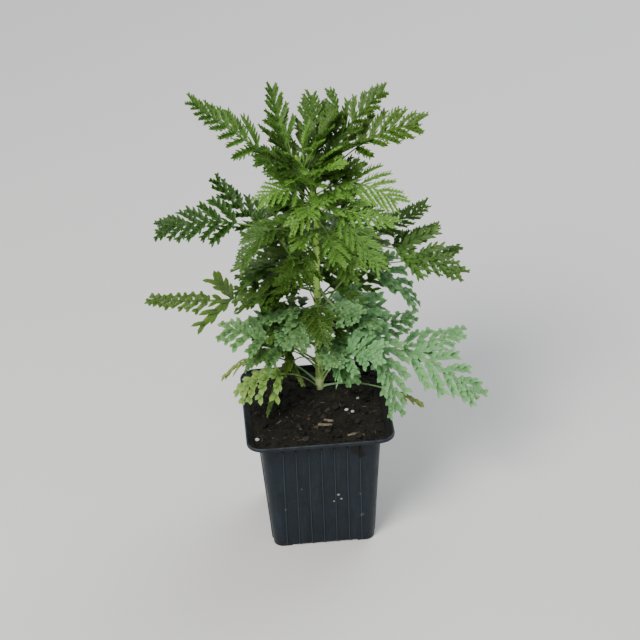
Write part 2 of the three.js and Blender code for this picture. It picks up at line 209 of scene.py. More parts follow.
def new_material(name, **fixed):
    """A material with its Principled shader, whose fixed sockets are set by name."""
    material = bpy.data.materials.new(name)
    material.use_nodes = True
    tree = material.node_tree
    shader = tree.nodes["Principled BSDF"]
    for key, value in fixed.items():
        shader.inputs[key.replace("_", " ")].default_value = value
    return material, tree, shader.inputs


def surface(tree, sockets, colour, roughness, height, distance):
    """Gives a material its colour, its roughness and its fine relief."""
    relief = node(tree, "Bump", {"Height": height, "Distance": distance, "Strength": 1.0})
    tree.links.new(colour, sockets["Base Color"])
    tree.links.new(roughness, sockets["Roughness"])
    tree.links.new(relief.outputs["Normal"], sockets["Normal"])


# Mottle: cloudy variation at one size with finer grain inside it.
mottle_group, inner, result = new_group(
    "mottle",
    [("Size", "Float", 0.01), ("Stretch", "Vector", (1, 1, 1)), ("Grain", "Float", 0.5)],
    [("Value", "Float"), ("Fine", "Float")],
)
t = mottle_group
place = node(t, "TexCoord", {}).outputs["Object"]
place = node(t, "VectorMath", {0: place, 1: inner["Stretch"]}, operation="MULTIPLY").outputs[0]
scale = maths(t, "DIVIDE", 1.0, inner["Size"])
broad = node(t, "TexNoise", {"Vector": place, "Scale": scale, "Detail": 4.0, "Roughness": 0.6}).outputs["Fac"]
scale = times(t, scale, 7.3)  # not a whole number, so that the two noises never line up
fine = node(t, "TexNoise", {"Vector": place, "Scale": scale, "Detail": 3.0, "Roughness": 0.65}).outputs["Fac"]
offset = times(t, maths(t, "SUBTRACT", fine, 0.5), inner["Grain"])
t.links.new(maths(t, "ADD", broad, offset, clamp=True), result["Value"])
t.links.new(fine, result["Fine"])


def mottle(tree, size, grain, stretch=(1, 1, 1)):
    return place_group(tree, mottle_group, {"Size": size, "Grain": grain, "Stretch": stretch})


# Spot: a soft round mark about one point.
spot_group, inner, result = new_group(
    "spot",
    [("Centre", "Vector", (0, 0, 0)), ("Radius", "Float", 0.001), ("Ragged", "Float", 0.5)],
    [("Mask", "Float")],
)
t = spot_group
place = node(t, "TexCoord", {}).outputs["Object"]
away = node(t, "VectorMath", {0: place, 1: inner["Centre"]}, operation="DISTANCE").outputs["Value"]
rough = node(t, "TexNoise", {"Vector": place, "Scale": 900.0, "Detail": 2.0}).outputs["Fac"]
near = maths(t, "DIVIDE", away, inner["Radius"])
near = maths(t, "ADD", near, times(t, maths(t, "SUBTRACT", rough, 0.5), inner["Ragged"]))
t.links.new(ramp(t, near, 1.0, 0.6), result["Mask"])

outside = [(0.0, 62.1, 5.7, 0), (0.12, 62.6, 5.85, 0)]
outside += [(z, *body_at(z), rib) for z, rib in [(0.45, 0), (1.2, 0), (1.5, 0.5), (1.95, 0.9), (2.6, 1)]]
outside += [(float(z), *body_at(z), 1) for z in range(9, 74, 8)]
outside += [(z, *body_at(z), rib) for z, rib in [(74.4, 1), (75.05, 0.9), (75.5, 0.5), (75.8, 0), (76.5, 0)]]
# Height, width and corner radius round the shoulder and lip, up the outside and down the inside.
outside += [
    (*row, 0)
    for row in [
        (77.05, 74.3, 8), (77.5, 75.4, 8.1), (81.2, 86.5, 8.9), (81.55, 87.7, 9), (81.68, 88.6, 9.3),
        (81.74, 89.3, 9.6), (81.9, 89.8, 9.9), (82.2, 90, 10), (83.1, 90, 10), (83.55, 89.9, 9.95),
        (83.84, 89.6, 9.8), (83.97, 89.2, 9.6), (84, 88.8, 9.4), (83.97, 88.35, 9.2), (83.8, 87.9, 9),
        (83.5, 87.65, 8.85), (82.9, 87.55, 8.8), (82.6, 86.8, 8.7), (77.9, 72.5, 6.9), (77.3, 71.6, 6.8),
    ]
]
inside = [(z, body_at(z)[0] - 2 * WALL, body_at(z)[1] - WALL, 0) for z in (70.0, 40.0, 5.0)]
inside += [(3.4, body_at(3)[0] - 2 * WALL - 0.2, 4.8, 0), (FLOOR_TOP, body_at(3)[0] - 2 * WALL - 1, 4.4, 0)]
pot = new_piece(
    "nursery_pot",
    *skin([square_ring(w, r, z, rib) for z, w, r, rib in outside + inside]),
    values={"crest_highlight": [share for *_, rib in outside + inside for share in rib_crests(rib)]},
)


def block(x, y, z0, z1):
    corners = [(-x, -y), (x, -y), (x, y), (-x, y)]
    return skin([[(a, b, z) for a, b in corners] for z in (z0, z1)])


def disc(x, y, radius, z0, z1, sides=36):
    turns = [2 * math.pi * k / sides for k in range(sides)]
    return skin([[(x + radius * math.cos(a), y + radius * math.sin(a), z) for a in turns] for z in (z0, z1)])


slot_half = BASE_WIDTH / 2 - FOOT_LENGTH
cut(pot, *block(60, slot_half, -2, FOOT_DROP))
cut(pot, *block(slot_half, 60, -2, FOOT_DROP))
cut(pot, *disc(0, 0, GATE_PAD_RADIUS, 0, 2), operation="UNION")
for x in (-DRAIN_OFFSET, DRAIN_OFFSET):
    for y in (-DRAIN_OFFSET, DRAIN_OFFSET):
        cut(pot, *disc(x, y, DRAIN_RADIUS, -1, 5))
pot.data.shade_smooth()
pot.data.set_sharp_from_angle(angle=math.radians(38))

pot_plastic, t, shader = new_material("slate_black_polypropylene", IOR=1.49, Specular_IOR_Level=0.24)
cloud = mottle(t, 0.016, 0.5)
streak = mottle(t, 0.004, 0.3, (1, 1, 0.12))
grain = mottle(t, 0.0012, 0.8)
colour = mix(t, ramp(t, cloud["Value"], 0.3, 0.7), (0.0040, 0.0074, 0.0115), (0.0075, 0.0140, 0.0210))
colour = mix(t, ramp(t, streak["Value"], 0.5, 0.75, 0, 0.4), colour, (0.022, 0.035, 0.048))
# Painted highlight: the rib crests are lightened where light would catch them, giving a pale line down each
# rib.
crest_highlight = ramp(t, point_value(t, "crest_highlight"), 0.55, 0.95, 0, 0.5)
colour = mix(t, crest_highlight, colour, (0.042, 0.060, 0.070))
height = height_of(t, "TexCoord", "Object")
facing = height_of(t, "NewGeometry", "Normal")
dust = times(t, ramp(t, grain["Value"], 0.42, 0.7), ramp(t, cloud["Fine"], 0.35, 0.65, 0.25, 1))
dust = times(t, dust, ramp(t, facing, -0.2, 0.9, 0.22, 0.5))
colour = mix(t, times(t, dust, 0.5), colour, (0.065, 0.075, 0.078))
# Painted shade: the upward-facing inside of the flared shoulder is darkened, as if the inner wall lay in
# shadow.
flare_shade = times(t, ramp(t, height, 0.0775, 0.0785), ramp(t, height, 0.0834, 0.0826))
flare_shade = times(t, flare_shade, ramp(t, facing, 0.15, 0.45))
colour = mix(t, flare_shade, colour, (0.0055, 0.0052, 0.0048))
# The lip's top is lightened in patches: partly rubbed wear, partly a painted highlight where the lip catches
# the light.
lip_rub_and_highlight = times(t, ramp(t, height, 0.0829, 0.0838), ramp(t, streak["Value"], 0.3, 0.6, 0.1, 0.5))
colour = mix(t, lip_rub_and_highlight, colour, (0.055, 0.070, 0.080))
soil_line = times(t, ramp(t, height, 0.0775, 0.0815), ramp(t, grain["Fine"], 0.56, 0.66, 0, 0.8))
colour = mix(t, soil_line, colour, (0.028, 0.021, 0.015))
# Soil smeared by a thumb at the right of the front, with dried water specks and scuffs under it.
for centre, radius, tint, ragged in [
    ((0.0215, -0.0372, 0.0735), 0.0050, (0.0025, 0.0022, 0.0020), 1.3),
    ((0.0245, -0.0370, 0.0692), 0.0030, (0.0025, 0.0022, 0.0020), 1.4),
    ((0.0095, -0.0345, 0.0385), 0.0010, (0.30, 0.32, 0.31), 1.0),
    ((0.0112, -0.0340, 0.0350), 0.0008, (0.26, 0.28, 0.27), 1.0),
    ((0.0066, -0.0338, 0.0335), 0.0007, (0.24, 0.26, 0.25), 1.0),
    ((0.0225, -0.0350, 0.0378), 0.0011, (0.10, 0.12, 0.12), 1.5),
    ((0.0238, -0.0335, 0.0212), 0.0013, (0.09, 0.11, 0.11), 1.5),
    ((-0.0130, -0.0352, 0.0450), 0.0007, (0.13, 0.14, 0.14), 1.2),
    ((-0.0235, -0.0342, 0.0300), 0.0009, (0.10, 0.11, 0.11), 1.4),
]:
    mark = place_group(t, spot_group, {"Centre": centre, "Radius": radius, "Ragged": ragged})
    colour = mix(t, mark["Mask"], colour, tint)
roughness = ramp(t, cloud["Value"], 0.3, 0.7, 0.34, 0.5)
roughness = maths(t, "ADD", roughness, times(t, dust, 0.35), clamp=True)
relief = maths(t, "ADD", grain["Value"], times(t, streak["Value"], 2.0))
surface(t, shader, colour, roughness, relief, 0.00006)
pot.data.materials.append(pot_plastic)
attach(pot, "root")
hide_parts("pot")


# ------------------------------
# Soil
# Moist dark peat compost pressed into the pot by hand, crowned a little round the stem.
# Its surface is loose: crumbs and clods of peat, a few root and straw fibres lying on it.

STEM_LINE = [
    (73.3, 4.1, 17.6, 2.3), (84, 4.1, 17.6, 2.35), (92, 4.1, 17.3, 2.25), (116, 4.3, 16.8, 2.15),
    (148, 4.8, 16.7, 2.05), (170, 4.7, 16.7, 1.95), (195, 5.6, 16.7, 1.75), (205, 7, 16.6, 1.7),
    (224, 4.9, 16.7, 1.5), (234, 1.8, 16.9, 1.35), (248, -5, 17.4, 0.9),
]
SOIL_EDGE, SOIL_CROWN, SOIL_BUMP = 81.0, 2.4, 0.6


def stem_at(z):
    """Centre and radius of the stem at a height, straight between the measured points."""
    rows = np.array(STEM_LINE)
    x, y, radius = (np.interp(z, rows[:, 0], rows[:, k]) for k in (1, 2, 3))
    return np.array([x, y, z]), float(radius)


def soil_level(x, y):
    """The smooth lie of the soil: level at the walls, crowned round the stem, gently lumpy."""
    foot = stem_at(SOIL_EDGE)[0]
    away = math.hypot(x - foot[0], y - foot[1]) / (LIP_WIDTH / 2)
    lumps = math.sin(0.31 * x + 1.3) * math.sin(0.27 * y - 0.4) + 0.6 * math.sin(0.52 * x - 0.45 * y)
    return SOIL_EDGE + SOIL_CROWN * math.exp(-3 * away * away) + SOIL_BUMP * lumps


def soil_height(x, y):
    """The soil with its crumbly relief."""
    coarse = noise.fractal(Vector((x / 6, y / 6, 0.3)), 0.9, 2.1, 3)
    fine = noise.fractal(Vector((x / 1.6, y / 1.6, 4.7)), 0.8, 2.0, 2)
    return soil_level(x, y) - 0.35 + 0.55 * coarse + 0.22 * fine


def inner_width(z):
    return float(np.interp(z, [3.4, 77.3, 82.9], [body_at(3)[0] - 2 * WALL, 71.6, 87.6]))


edge_z = SOIL_EDGE - 0.9
walls = [(3.05, 4.6), (40.0, 5.5), (77.4, 6.8)]
rings = [square_ring(inner_width(z) - 0.1, radius, z) for z, radius in walls]
edge = square_ring(inner_width(edge_z) + 0.2, 8.4, edge_z)
rings.append(edge)
foot, foot_radius = stem_at(SOIL_EDGE)
RINGS_IN = 64
STEM_HOLE = 0.66  # the soil closes round the drawn-in foot of the stem, at this share of its radius
for k in range(1, RINGS_IN + 1):
    share = k / RINGS_IN
    ring = []
    for x, y, z in edge:
        bearing = math.atan2(y, x)
        px = foot[0] + STEM_HOLE * foot_radius * math.cos(bearing)
        py = foot[1] + STEM_HOLE * foot_radius * math.sin(bearing)
        qx, qy = x + (px - x) * share, y + (py - y) * share
        lie = soil_height(qx, qy)
        ring.append((qx, qy, z + (lie - z) * min(1.0, share / 0.06)))
    rings.append(ring)
rings.append([(x, y, 76.0) for x, y, z in rings[-1]])
soil = new_piece("potting_soil", *skin(rings), sharp_angle=80)

peat, t, shader = new_material("moist_peat", Specular_IOR_Level=0.25)
clump = mottle(t, 0.006, 0.7)
grit = mottle(t, 0.0016, 1.0)
colour = mix(t, ramp(t, clump["Value"], 0.35, 0.68), (0.0052, 0.0046, 0.0030), (0.0195, 0.0168, 0.0100))
colour = mix(t, ramp(t, grit["Value"], 0.58, 0.72, 0, 0.75), colour, (0.048, 0.039, 0.029))
colour = mix(t, ramp(t, grit["Fine"], 0.7, 0.76, 0, 0.7), colour, (0.16, 0.14, 0.10))
moss = times(t, ramp(t, clump["Fine"], 0.52, 0.66), ramp(t, clump["Value"], 0.4, 0.6, 0, 0.5))
colour = mix(t, moss, colour, (0.020, 0.026, 0.008))
relief = maths(t, "ADD", clump["Value"], grit["Value"])
surface(t, shader, colour, ramp(t, clump["Value"], 0.3, 0.7, 0.62, 0.95), relief, 0.0007)
soil.data.materials.append(peat)
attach(soil, "root")
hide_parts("soil")


def ball(subdivisions):
    """Points and faces of a round body of unit radius."""
    shape = bmesh.new()
    bmesh.ops.create_icosphere(shape, subdivisions=subdivisions, radius=1)
    points = np.array([v.co[:] for v in shape.verts])
    faces = np.array([[v.index for v in f.verts] for f in shape.faces])
    shape.free()
    return points, faces


SMALL_BALL, LARGE_BALL = ball(1), ball(2)


class Heap:
    """Many small closed bodies gathered into one mesh, each with its own values."""

    def __init__(self, *keys):
        self.points, self.faces, self.count = [], [], 0
        self.values = {key: [] for key in keys}
        self.fixed = {}

    def add(self, points, faces, **values):
        points = np.asarray(points)
        self.faces += [tuple(int(i) + self.count for i in face) for face in faces]
        self.points.append(points)
        self.count += len(points)
        for key, layer in self.values.items():
            value = np.asarray(values.get(key, self.fixed.get(key, 0.0)), float)
            layer.append(np.broadcast_to(value, (len(points),)))

    def piece(self, name, sharp_angle=40):
        values = {key: np.concatenate(layer) for key, layer in self.values.items()}
        return new_piece(name, np.concatenate(self.points), self.faces, sharp_angle, values)


def lump(draw, centre, size, uneven=0.35):
    """An irregular clod: a ball pushed in and out by noise and turned at random."""
    points, faces = LARGE_BALL if max(size) > 1.1 else SMALL_BALL
    seed = Vector((draw.uniform(-50, 50), draw.uniform(-50, 50), draw.uniform(-50, 50)))
    pushed = np.array([1 + uneven * noise.noise(Vector(p) * 1.3 + seed) * 2 for p in points])
    turn = Matrix.Rotation(draw.uniform(0, 2 * math.pi), 3, "Z")
    turn = turn @ Matrix.Rotation(draw.uniform(-0.6, 0.6), 3, "X")
    return (points * pushed[:, None] * np.array(size)) @ np.array(turn).T + np.array(centre), faces


def on_soil(draw, margin=2.5):
    """A random place on the soil, clear of the pot's wall and of the stem."""
    half = inner_width(SOIL_EDGE) / 2 - margin
    while True:
        x, y = draw.uniform(-half, half), draw.uniform(-half, half)
        corner = math.hypot(max(abs(x) - half + 7, 0), max(abs(y) - half + 7, 0))
        if corner < 7 and math.hypot(x - foot[0], y - foot[1]) > foot_radius + 1.2:
            return x, y


CRUMBS, LOOSE_FIBRES = 1150, 42
draw = random.Random(11)
crumbs = Heap("tone")
for k in range(CRUMBS):
    radius = min(2.3, 0.42 / (1 - draw.random()) ** 0.42)
    x, y = on_soil(draw, margin=1.0 + radius)
    size = (radius, radius * draw.uniform(0.6, 1), radius * draw.uniform(0.45, 0.75))
    points, faces = lump(draw, (x, y, soil_height(x, y) + 0.25 * radius), size)
    crumbs.add(points, faces, tone=draw.random())
crumb_piece = crumbs.piece("soil_crumbs", 75)

clods, t, shader = new_material("peat_crumbs", Specular_IOR_Level=0.25)
tone = point_value(t, "tone")
grit = mottle(t, 0.0014, 1.0)
colour = mix(t, ramp(t, tone, 0.15, 0.8), (0.0052, 0.0046, 0.0032), (0.0215, 0.0182, 0.0110))
colour = mix(t, ramp(t, tone, 0.82, 0.93, 0, 0.8), colour, (0.045, 0.041, 0.037))
colour = mix(t, ramp(t, tone, 0.975, 0.985, 0, 0.8), colour, (0.11, 0.075, 0.042))
colour = mix(t, ramp(t, grit["Value"], 0.56, 0.74, 0, 0.6), colour, (0.055, 0.045, 0.034))
surface(t, shader, colour, ramp(t, grit["Value"], 0.3, 0.7, 0.6, 0.95), grit["Value"], 0.0005)
crumb_piece.data.materials.append(clods)
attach(crumb_piece, "root")


def tube(path, radii, sides=6, flat=1.0):
    """A closed tapering tube along a path, flattened if asked."""
    path = np.asarray(path, float)
    along = np.gradient(path, axis=0)
    along /= np.linalg.norm(along, axis=1)[:, None]
    aside = np.cross(along, (0.31, 0.17, 0.93))
    aside /= np.linalg.norm(aside, axis=1)[:, None]
    over = np.cross(aside, along)
    turns = np.arange(sides) * 2 * math.pi / sides
    rings = []
    for p, a, o, r in zip(path, aside, over, radii):
        rings.append(p + r * (np.cos(turns)[:, None] * a + flat * np.sin(turns)[:, None] * o))
    points, faces = skin([[tuple(q) for q in ring] for ring in rings])
    return np.array(points), faces


draw = random.Random(23)
fibres = Heap("tone")
# Straws that catch the eye near the front come first: place, length and turn.
fibre_places = [
    (4.5, -16.8, 5.0, -12), (1.5, -18.5, 3.2, 30), (8.5, -18.9, 3.6, -35), (-11.5, -33.4, 6.0, 18),
    (-8.6, -34.0, 4.0, 5), (12.8, -29.6, 2.6, 60), (5.2, -30.4, 2.2, -20), (37.2, -20.0, 4.2, 20),
    (-3.5, -26.0, 3.0, 75), (24.5, -2.0, 5.5, -40),
]
for k in range(LOOSE_FIBRES):
    x, y = on_soil(draw, margin=4)
    fibre_places.append((x, y, draw.uniform(1.8, 5.5), draw.uniform(0, 180)))
for x, y, length, turn in fibre_places:
    a = math.radians(turn)
    bend = draw.uniform(-0.25, 0.25)
    path = []
    for s in np.linspace(-0.5, 0.5, 6):
        px = x + length * (s * math.cos(a) - bend * (s * s - 0.1) * math.sin(a))
        py = y + length * (s * math.sin(a) + bend * (s * s - 0.1) * math.cos(a))
        path.append((px, py, soil_height(px, py) + 0.55))
    radius = draw.uniform(0.09, 0.2)
    fibres.add(*tube(path, [radius * w for w in (0.4, 1, 1.1, 1, 0.8, 0.3)], 5, 0.6), tone=draw.random())
fibre_piece = fibres.piece("soil_fibres", 60)

straw, t, shader = new_material("straw_and_root_fibre", Specular_IOR_Level=0.3)
tone = point_value(t, "tone")
grit = mottle(t, 0.0015, 0.8)
colour = mix(t, tone, (0.045, 0.034, 0.020), (0.23, 0.20, 0.13))
colour = mix(t, ramp(t, grit["Value"], 0.45, 0.7, 0, 0.6), colour, (0.03, 0.021, 0.013))
surface(t, shader, colour, ramp(t, grit["Value"], 0.3, 0.7, 0.55, 0.9), grit["Value"], 0.0002)
fibre_piece.data.materials.append(straw)
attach(fibre_piece, "root")


# ------------------------------
# Perlite grains and bark chips
# Four grains of expanded volcanic glass, light and pitted, and three dry split chips of bark.
# They came in the compost and lie loose on it.

perlite, t, shader = new_material("perlite", Specular_IOR_Level=0.3)
pits = mottle(t, 0.0011, 0.9)
colour = mix(t, ramp(t, pits["Value"], 0.35, 0.62), (0.34, 0.33, 0.27), (0.74, 0.74, 0.66))
colour = mix(t, ramp(t, pits["Fine"], 0.6, 0.72, 0, 0.6), colour, (0.12, 0.1, 0.07))
surface(t, shader, colour, ramp(t, pits["Value"], 0.3, 0.7, 0.6, 0.9), pits["Value"], 0.0004)

bark, t, shader = new_material("dry_bark", Specular_IOR_Level=0.25)
strands = mottle(t, 0.0016, 0.9, (0.25, 1.6, 1.6))
colour = mix(t, ramp(t, strands["Value"], 0.35, 0.65), (0.075, 0.058, 0.036), (0.30, 0.26, 0.17))
colour = mix(t, ramp(t, strands["Fine"], 0.62, 0.74, 0, 0.7), colour, (0.02, 0.014, 0.009))
surface(t, shader, colour, ramp(t, strands["Value"], 0.3, 0.7, 0.6, 0.9), strands["Value"], 0.0004)

draw = random.Random(5)
loose_bits = [(f"perlite_{side}", perlite, "perlite", 0) for side in ("left", "right", "front", "back")]
chip_turns = {"front": -8, "middle": -20, "right": 18}
loose_bits += [(f"bark_chip_{side}", bark, "bark", turn) for side, turn in chip_turns.items()]
for name, material, slot, turn in loose_bits:
    low, high = (np.array(corner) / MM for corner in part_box(name))
    middle, half = (low + high) / 2, (high - low) / 2
    seed = Vector((draw.uniform(-9, 9), draw.uniform(-9, 9), draw.uniform(-9, 9)))
    points, faces = ball(3)
    if slot == "perlite":
        places = [Vector(p) for p in points]
        pushed = [0.92 + 0.3 * noise.noise(p * 1.4 + seed) + 0.12 * noise.noise(p * 4 + seed) for p in places]
        points = points * np.array(pushed)[:, None] * half
    else:
        a = math.radians(turn)
        long = half[0] / (abs(math.cos(a)) + 0.2 * abs(math.sin(a)))
        shape = np.sign(points) * np.abs(points) ** 0.55 * (long, 0.85, half[2])
        for p in shape:
            p[1] *= 1 + 0.45 * noise.noise(Vector((p[0] * 0.9, 1.5 * p[2], 3)) + seed)
            p[2] *= 1 + 0.4 * noise.noise(Vector((p[0] * 0.8, 2 * p[1], 7)) + seed)
            p[0] *= 1 + 0.22 * noise.noise(Vector((0, 2.5 * p[1], 2 * p[2])) + seed)
        points = shape @ np.array(Matrix.Rotation(a, 3, "Z")).T
    middle[2] = soil_height(middle[0], middle[1]) + half[2] * 0.75 + 0.15
    bit = new_piece(name + "_detailed", points + middle, [tuple(int(i) for i in f) for f in faces], 50)
    bit.data.materials.append(material)
    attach(bit, "root")
    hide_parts(name)


# ------------------------------
# Stem
# One juicy green shoot, round with shallow lengthways ridges and a slight swelling at each node.
# It grows out of the soil, cream near the ground and bright yellow-green higher up.

# Leaves, as they sit on the stem: name, height on the stem, direction round it in degrees
# (0 right, 270 front), reach outwards, rise to the tip, arch upwards, sweep sideways, tilt of the
# blade in degrees, bare share of the stalk, pairs of leaflets, length of the first pair, length of
# the second pair, kind, lightness, which is partly the leaf's own tone and partly painted light and
# shade (0 dark to 1 light, and below 0 for the leaves in deep shade), yellowing from 0 to 1.
LEAVES = [
    ("top_left", 231, 184, 65, 59, -1, -2, -24, 0.42, 5, 18, 14, "fine", 0.7, 0.15),
    ("top_back", 235, 133, 23, 49, -3, 4, -6, 0.45, 4, 15, 13, "fine", 0.7, 0.15),
    ("top_middle", 237, 72, 22, 38, 0, -1, 0, 0.45, 4, 13, 11, "fine", 0.45, 0.15),
    ("top_centre", 238, 353, 18, 36, 3, 0, 10, 0.45, 4, 9, 8, "fine", 0.3, 0.3),
    ("top_right_inner", 234, 41, 20, 50, -6, -11, 15, 0.46, 4, 11, 9, "fine", 0.35, 0.1),
    ("top_right_back", 231, 5, 44, 52, 5, 1, 12, 0.46, 4, 15, 13, "fine", 0.25, 0.2),
    ("top_right", 226, 343, 62, 46, 10, 0, 26, 0.42, 5, 18, 17, "fine", 0.3, 0.35),
    ("tip_left", 247.8, 177, 6, 20, 3, 0, 0, 0.3, 3, 6, 5, "young", 0.8, 0.2),
    ("tip_right", 245, 356, 7, 24, 1, 0, 0, 0.3, 3, 7, 6, "young", 0.75, 0.2),
    ("tip_front", 240, 302, 19, 25, 3, 1, 0, 0.45, 3, 6, 5, "young", 0.9, 0.3),
    ("shoot_right", 229, 314, 21, 30, 4, -2, 6, 0.45, 3, 7, 6, "young", 0.9, 0.3),
    ("short_front", 223, 301, 29, 30, 7, -4, 20, 0.4, 4, 10, 8, "young", 0.6, 0.3),
    ("upper_left_short", 222, 194, 32, 29, 7, 0, -30, 0.42, 4, 11, 9, "fine", 0.6, 0.1),
    ("left_raised", 195, 164, 59, 33, -10, 4, -15, 0.5, 5, 14, 12, "fine", -0.2, 0.0),
    ("left", 187, 186, 92, 23, 12, 3, -28, 0.5, 6, 16, 14, "fine", -0.2, 0.0),
    ("left_hanging", 181, 209, 51, 9, 22, 0, -5, 0.5, 5, 11, 11, "fine", 0.35, 0.1),
    ("front_left_upper", 220, 214, 37, 12, 7, 2, -25, 0.32, 5, 13, 12, "young", 0.65, 0.2),
    ("front_middle", 214, 237, 29, 1, 6, 6, -15, 0.3, 4, 12, 11, "young", 0.5, 0.3),
    ("right_upper", 222, 337, 50, 0, 11, -1, 22, 0.3, 6, 16, 17, "young", 0.5, 0.2),
    ("right_middle", 216, 327, 50, -2, 3, -4, 15, 0.35, 5, 12, 12, "young", 0.6, 0.2),
    ("right_drooping", 209, 316, 46, -24, 14, -3, 5, 0.4, 5, 12, 13, "young", 0.5, 0.1),
    ("right_back", 203, 11, 66, -1, -11, 1, 10, 0.5, 5, 11, 11, "fine", 0.35, 0.0),
    ("right_raised", 192, 6, 74, -2, -10, -1, 15, 0.6, 4, 9, 8, "fine", 0.35, 0.0),
    ("right", 184, 345, 84, -11, 8, 3, 22, 0.56, 5, 21, 13, "fine", 0.3, 0.1),
    ("far_right_back", 176, 18, 93, -15, -6, -1, 0, 0.62, 4, 9, 8, "fine", 0.3, 0.0),
    ("back_left", 160, 159, 108, -26, -8, -4, -22, 0.5, 5, 22, 8, "fine", -0.25, 0.3),
    ("back_left_inner", 169, 152, 50, -24, 12, 1, -10, 0.45, 4, 16, 12, "fine", 0.0, 0.0),
    ("front_left_long", 149, 228, 30, 58, -1, 2, -20, 0.62, 4, 11, 9, "fine", 0.4, 0.1),
    ("lower_left", 106, 194, 55, 34, 7, 6, -30, 0.38, 5, 22, 15, "broad", 0.3, 0.2),
    ("front_low", 151, 270, 35, -10, 4, -1, 0, 0.35, 4, 11, 10, "broad", 0.1, 0.2),
    ("front_right_low", 157, 309, 33, -5, -4, -1, 25, 0.35, 4, 11, 10, "broad", 0.3, 0.1),
    ("front_left_low", 142, 231, 26, -3, 5, 1, -20, 0.35, 4, 10, 9, "broad", 0.3, 0.1),
    ("right_arching", 141, 359, 56, 1, 24, 5, 15, 0.55, 5, 15, 13, "broad", 0.4, 0.0),
    ("right_low_back", 120, 12, 59, 4, -3, 0, 10, 0.62, 3, 11, 9, "broad", 0.35, 0.0),
    ("lower_right_raised", 114, 2, 86, 1, -6, 0, 15, 0.58, 4, 12, 11, "broad", 0.75, 0.0),
    ("lower_right", 106, 345, 96, -21, 17, 5, 22, 0.56, 4, 17, 16, "broad", 0.9, 0.0),
    ("lower_right_hanging", 95, 314, 58, -4, 34, 12, 0, 0.52, 5, 13, 15, "broad", 0.95, 0.1),
    ("lower_front", 91, 315, 45, 39, 9, -5, 42, 0.38, 4, 15, 15, "broad", 0.85, 0.0),
    ("middle_right", 129, 334, 38, 3, 18, 0, 20, 0.35, 5, 14, 14, "broad", 0.6, 0.0),
    ("low_left_front", 87, 217, 58, 24, 12, 4, -20, 0.54, 3, 13, 11, "broad", 0.15, 0.9),
    ("low_left_dark", 101, 205, 47, 17, 14, 3, -20, 0.42, 5, 10, 11, "broad", -0.1, 0.25),
    ("old_left", 90, 176, 56, 5, 16, 0, 0, 0.74, 3, 10, 7, "old", 0.5, 0.6),
    ("old_right", 86, 337, 63, -3, 10, -4, 0, 0.78, 2, 7, 5, "old", 0.6, 0.8),
    ("back_upper", 210, 98, 46, 10, 6, 3, 0, 0.36, 5, 17, 14, "fine", 0.45, 0.1),
    ("back_middle", 177, 72, 60, -8, 8, -3, 0, 0.4, 5, 20, 16, "fine", 0.4, 0.0),
    ("back_low", 124, 56, 58, -4, 6, -4, 0, 0.4, 5, 20, 16, "broad", 0.5, 0.0),
    ("back_left_low", 114, 128, 52, -2, 8, 4, 0, 0.42, 5, 18, 15, "broad", 0.45, 0.0),
]
STEM_SIDES, RIDGES = 40, 8
FOOT_DRAWN_IN, FOOT_HEIGHT = 0.24, 82
STEM_END = 246

rows = np.array(STEM_LINE)
heights = np.concatenate([np.arange(73.3, STEM_END, 1.1), [246.6, 247.4, 248.0]])
stem_rings = []
for z in heights:
    # The line through the measured points is rounded off over a few millimetres each way.
    near = np.clip(z + np.array([-5, -2.5, 0, 2.5, 5]), rows[0, 0], rows[-1, 0])
    centre = np.array([stem_at(h)[0][:2] for h in near]).mean(0)
    radius = float(np.mean([stem_at(h)[1] for h in near]))
    turns = np.arange(STEM_SIDES) * 2 * math.pi / STEM_SIDES
    ring = radius * (1 + 0.035 * np.cos(RIDGES * turns + 0.012 * z))
    for _, node_z, direction, *_ in LEAVES:
        nearness = math.exp(-(((z - node_z + 0.8) / 1.9) ** 2))
        if nearness > 0.01:
            facing_leaf = np.clip(np.cos(turns - math.radians(direction)), 0, 1) ** 2
            ring = ring + radius * nearness * (0.05 + 0.26 * facing_leaf)
    ring = ring * (1 - FOOT_DRAWN_IN * math.exp(-(((z - FOOT_HEIGHT) / 6) ** 2)))
    if z > STEM_END:
        ring = ring * (1 - 0.75 * ((z - STEM_END) / 2) ** 2)
    round_stem = zip(ring, turns)
    stem_rings.append([(centre[0] + r * math.cos(a), centre[1] + r * math.sin(a), z) for r, a in round_stem])
stem = new_piece("stem_shoot", *skin(stem_rings), sharp_angle=60)

stem_skin, t, shader = new_material(
    "green_stem_skin", IOR=1.42, Specular_IOR_Level=0.45, Subsurface_Weight=0.12, Subsurface_Scale=0.001
)
height = height_of(t, "TexCoord", "Object")
streaks = mottle(t, 0.0011, 0.4, (1, 1, 0.06))
cloud = mottle(t, 0.007, 0.4)
colour = mix(t, ramp(t, height, 0.088, 0.17), (0.54, 0.84, 0.26), (0.62, 0.95, 0.20))
colour = mix(t, ramp(t, height, 0.19, 0.235), colour, (0.22, 0.40, 0.06))
# Painted shade: the stem is darker from about 9 to 10.6 cm, among and under the lowest leaves.
colour = mix(t, ramp(t, height, 0.106, 0.099), colour, (0.16, 0.24, 0.05))
colour = mix(t, ramp(t, height, 0.094, 0.090), colour, (0.50, 0.60, 0.30))
colour = mix(t, ramp(t, streaks["Value"], 0.45, 0.62, 0, 0.55), colour, (0.68, 0.93, 0.32))
colour = mix(t, ramp(t, streaks["Value"], 0.42, 0.3, 0, 0.25), colour, (0.20, 0.36, 0.05))
colour = mix(t, ramp(t, cloud["Value"], 0.55, 0.72, 0, 0.3), colour, (0.22, 0.27, 0.06))
soil_splash = times(t, ramp(t, height, 0.091, 0.0845), ramp(t, cloud["Fine"], 0.5, 0.62, 0, 0.7))
colour = mix(t, soil_splash, colour, (0.05, 0.036, 0.02))
surface(t, shader, colour, ramp(t, cloud["Value"], 0.3, 0.7, 0.36, 0.52), streaks["Value"], 0.00008)
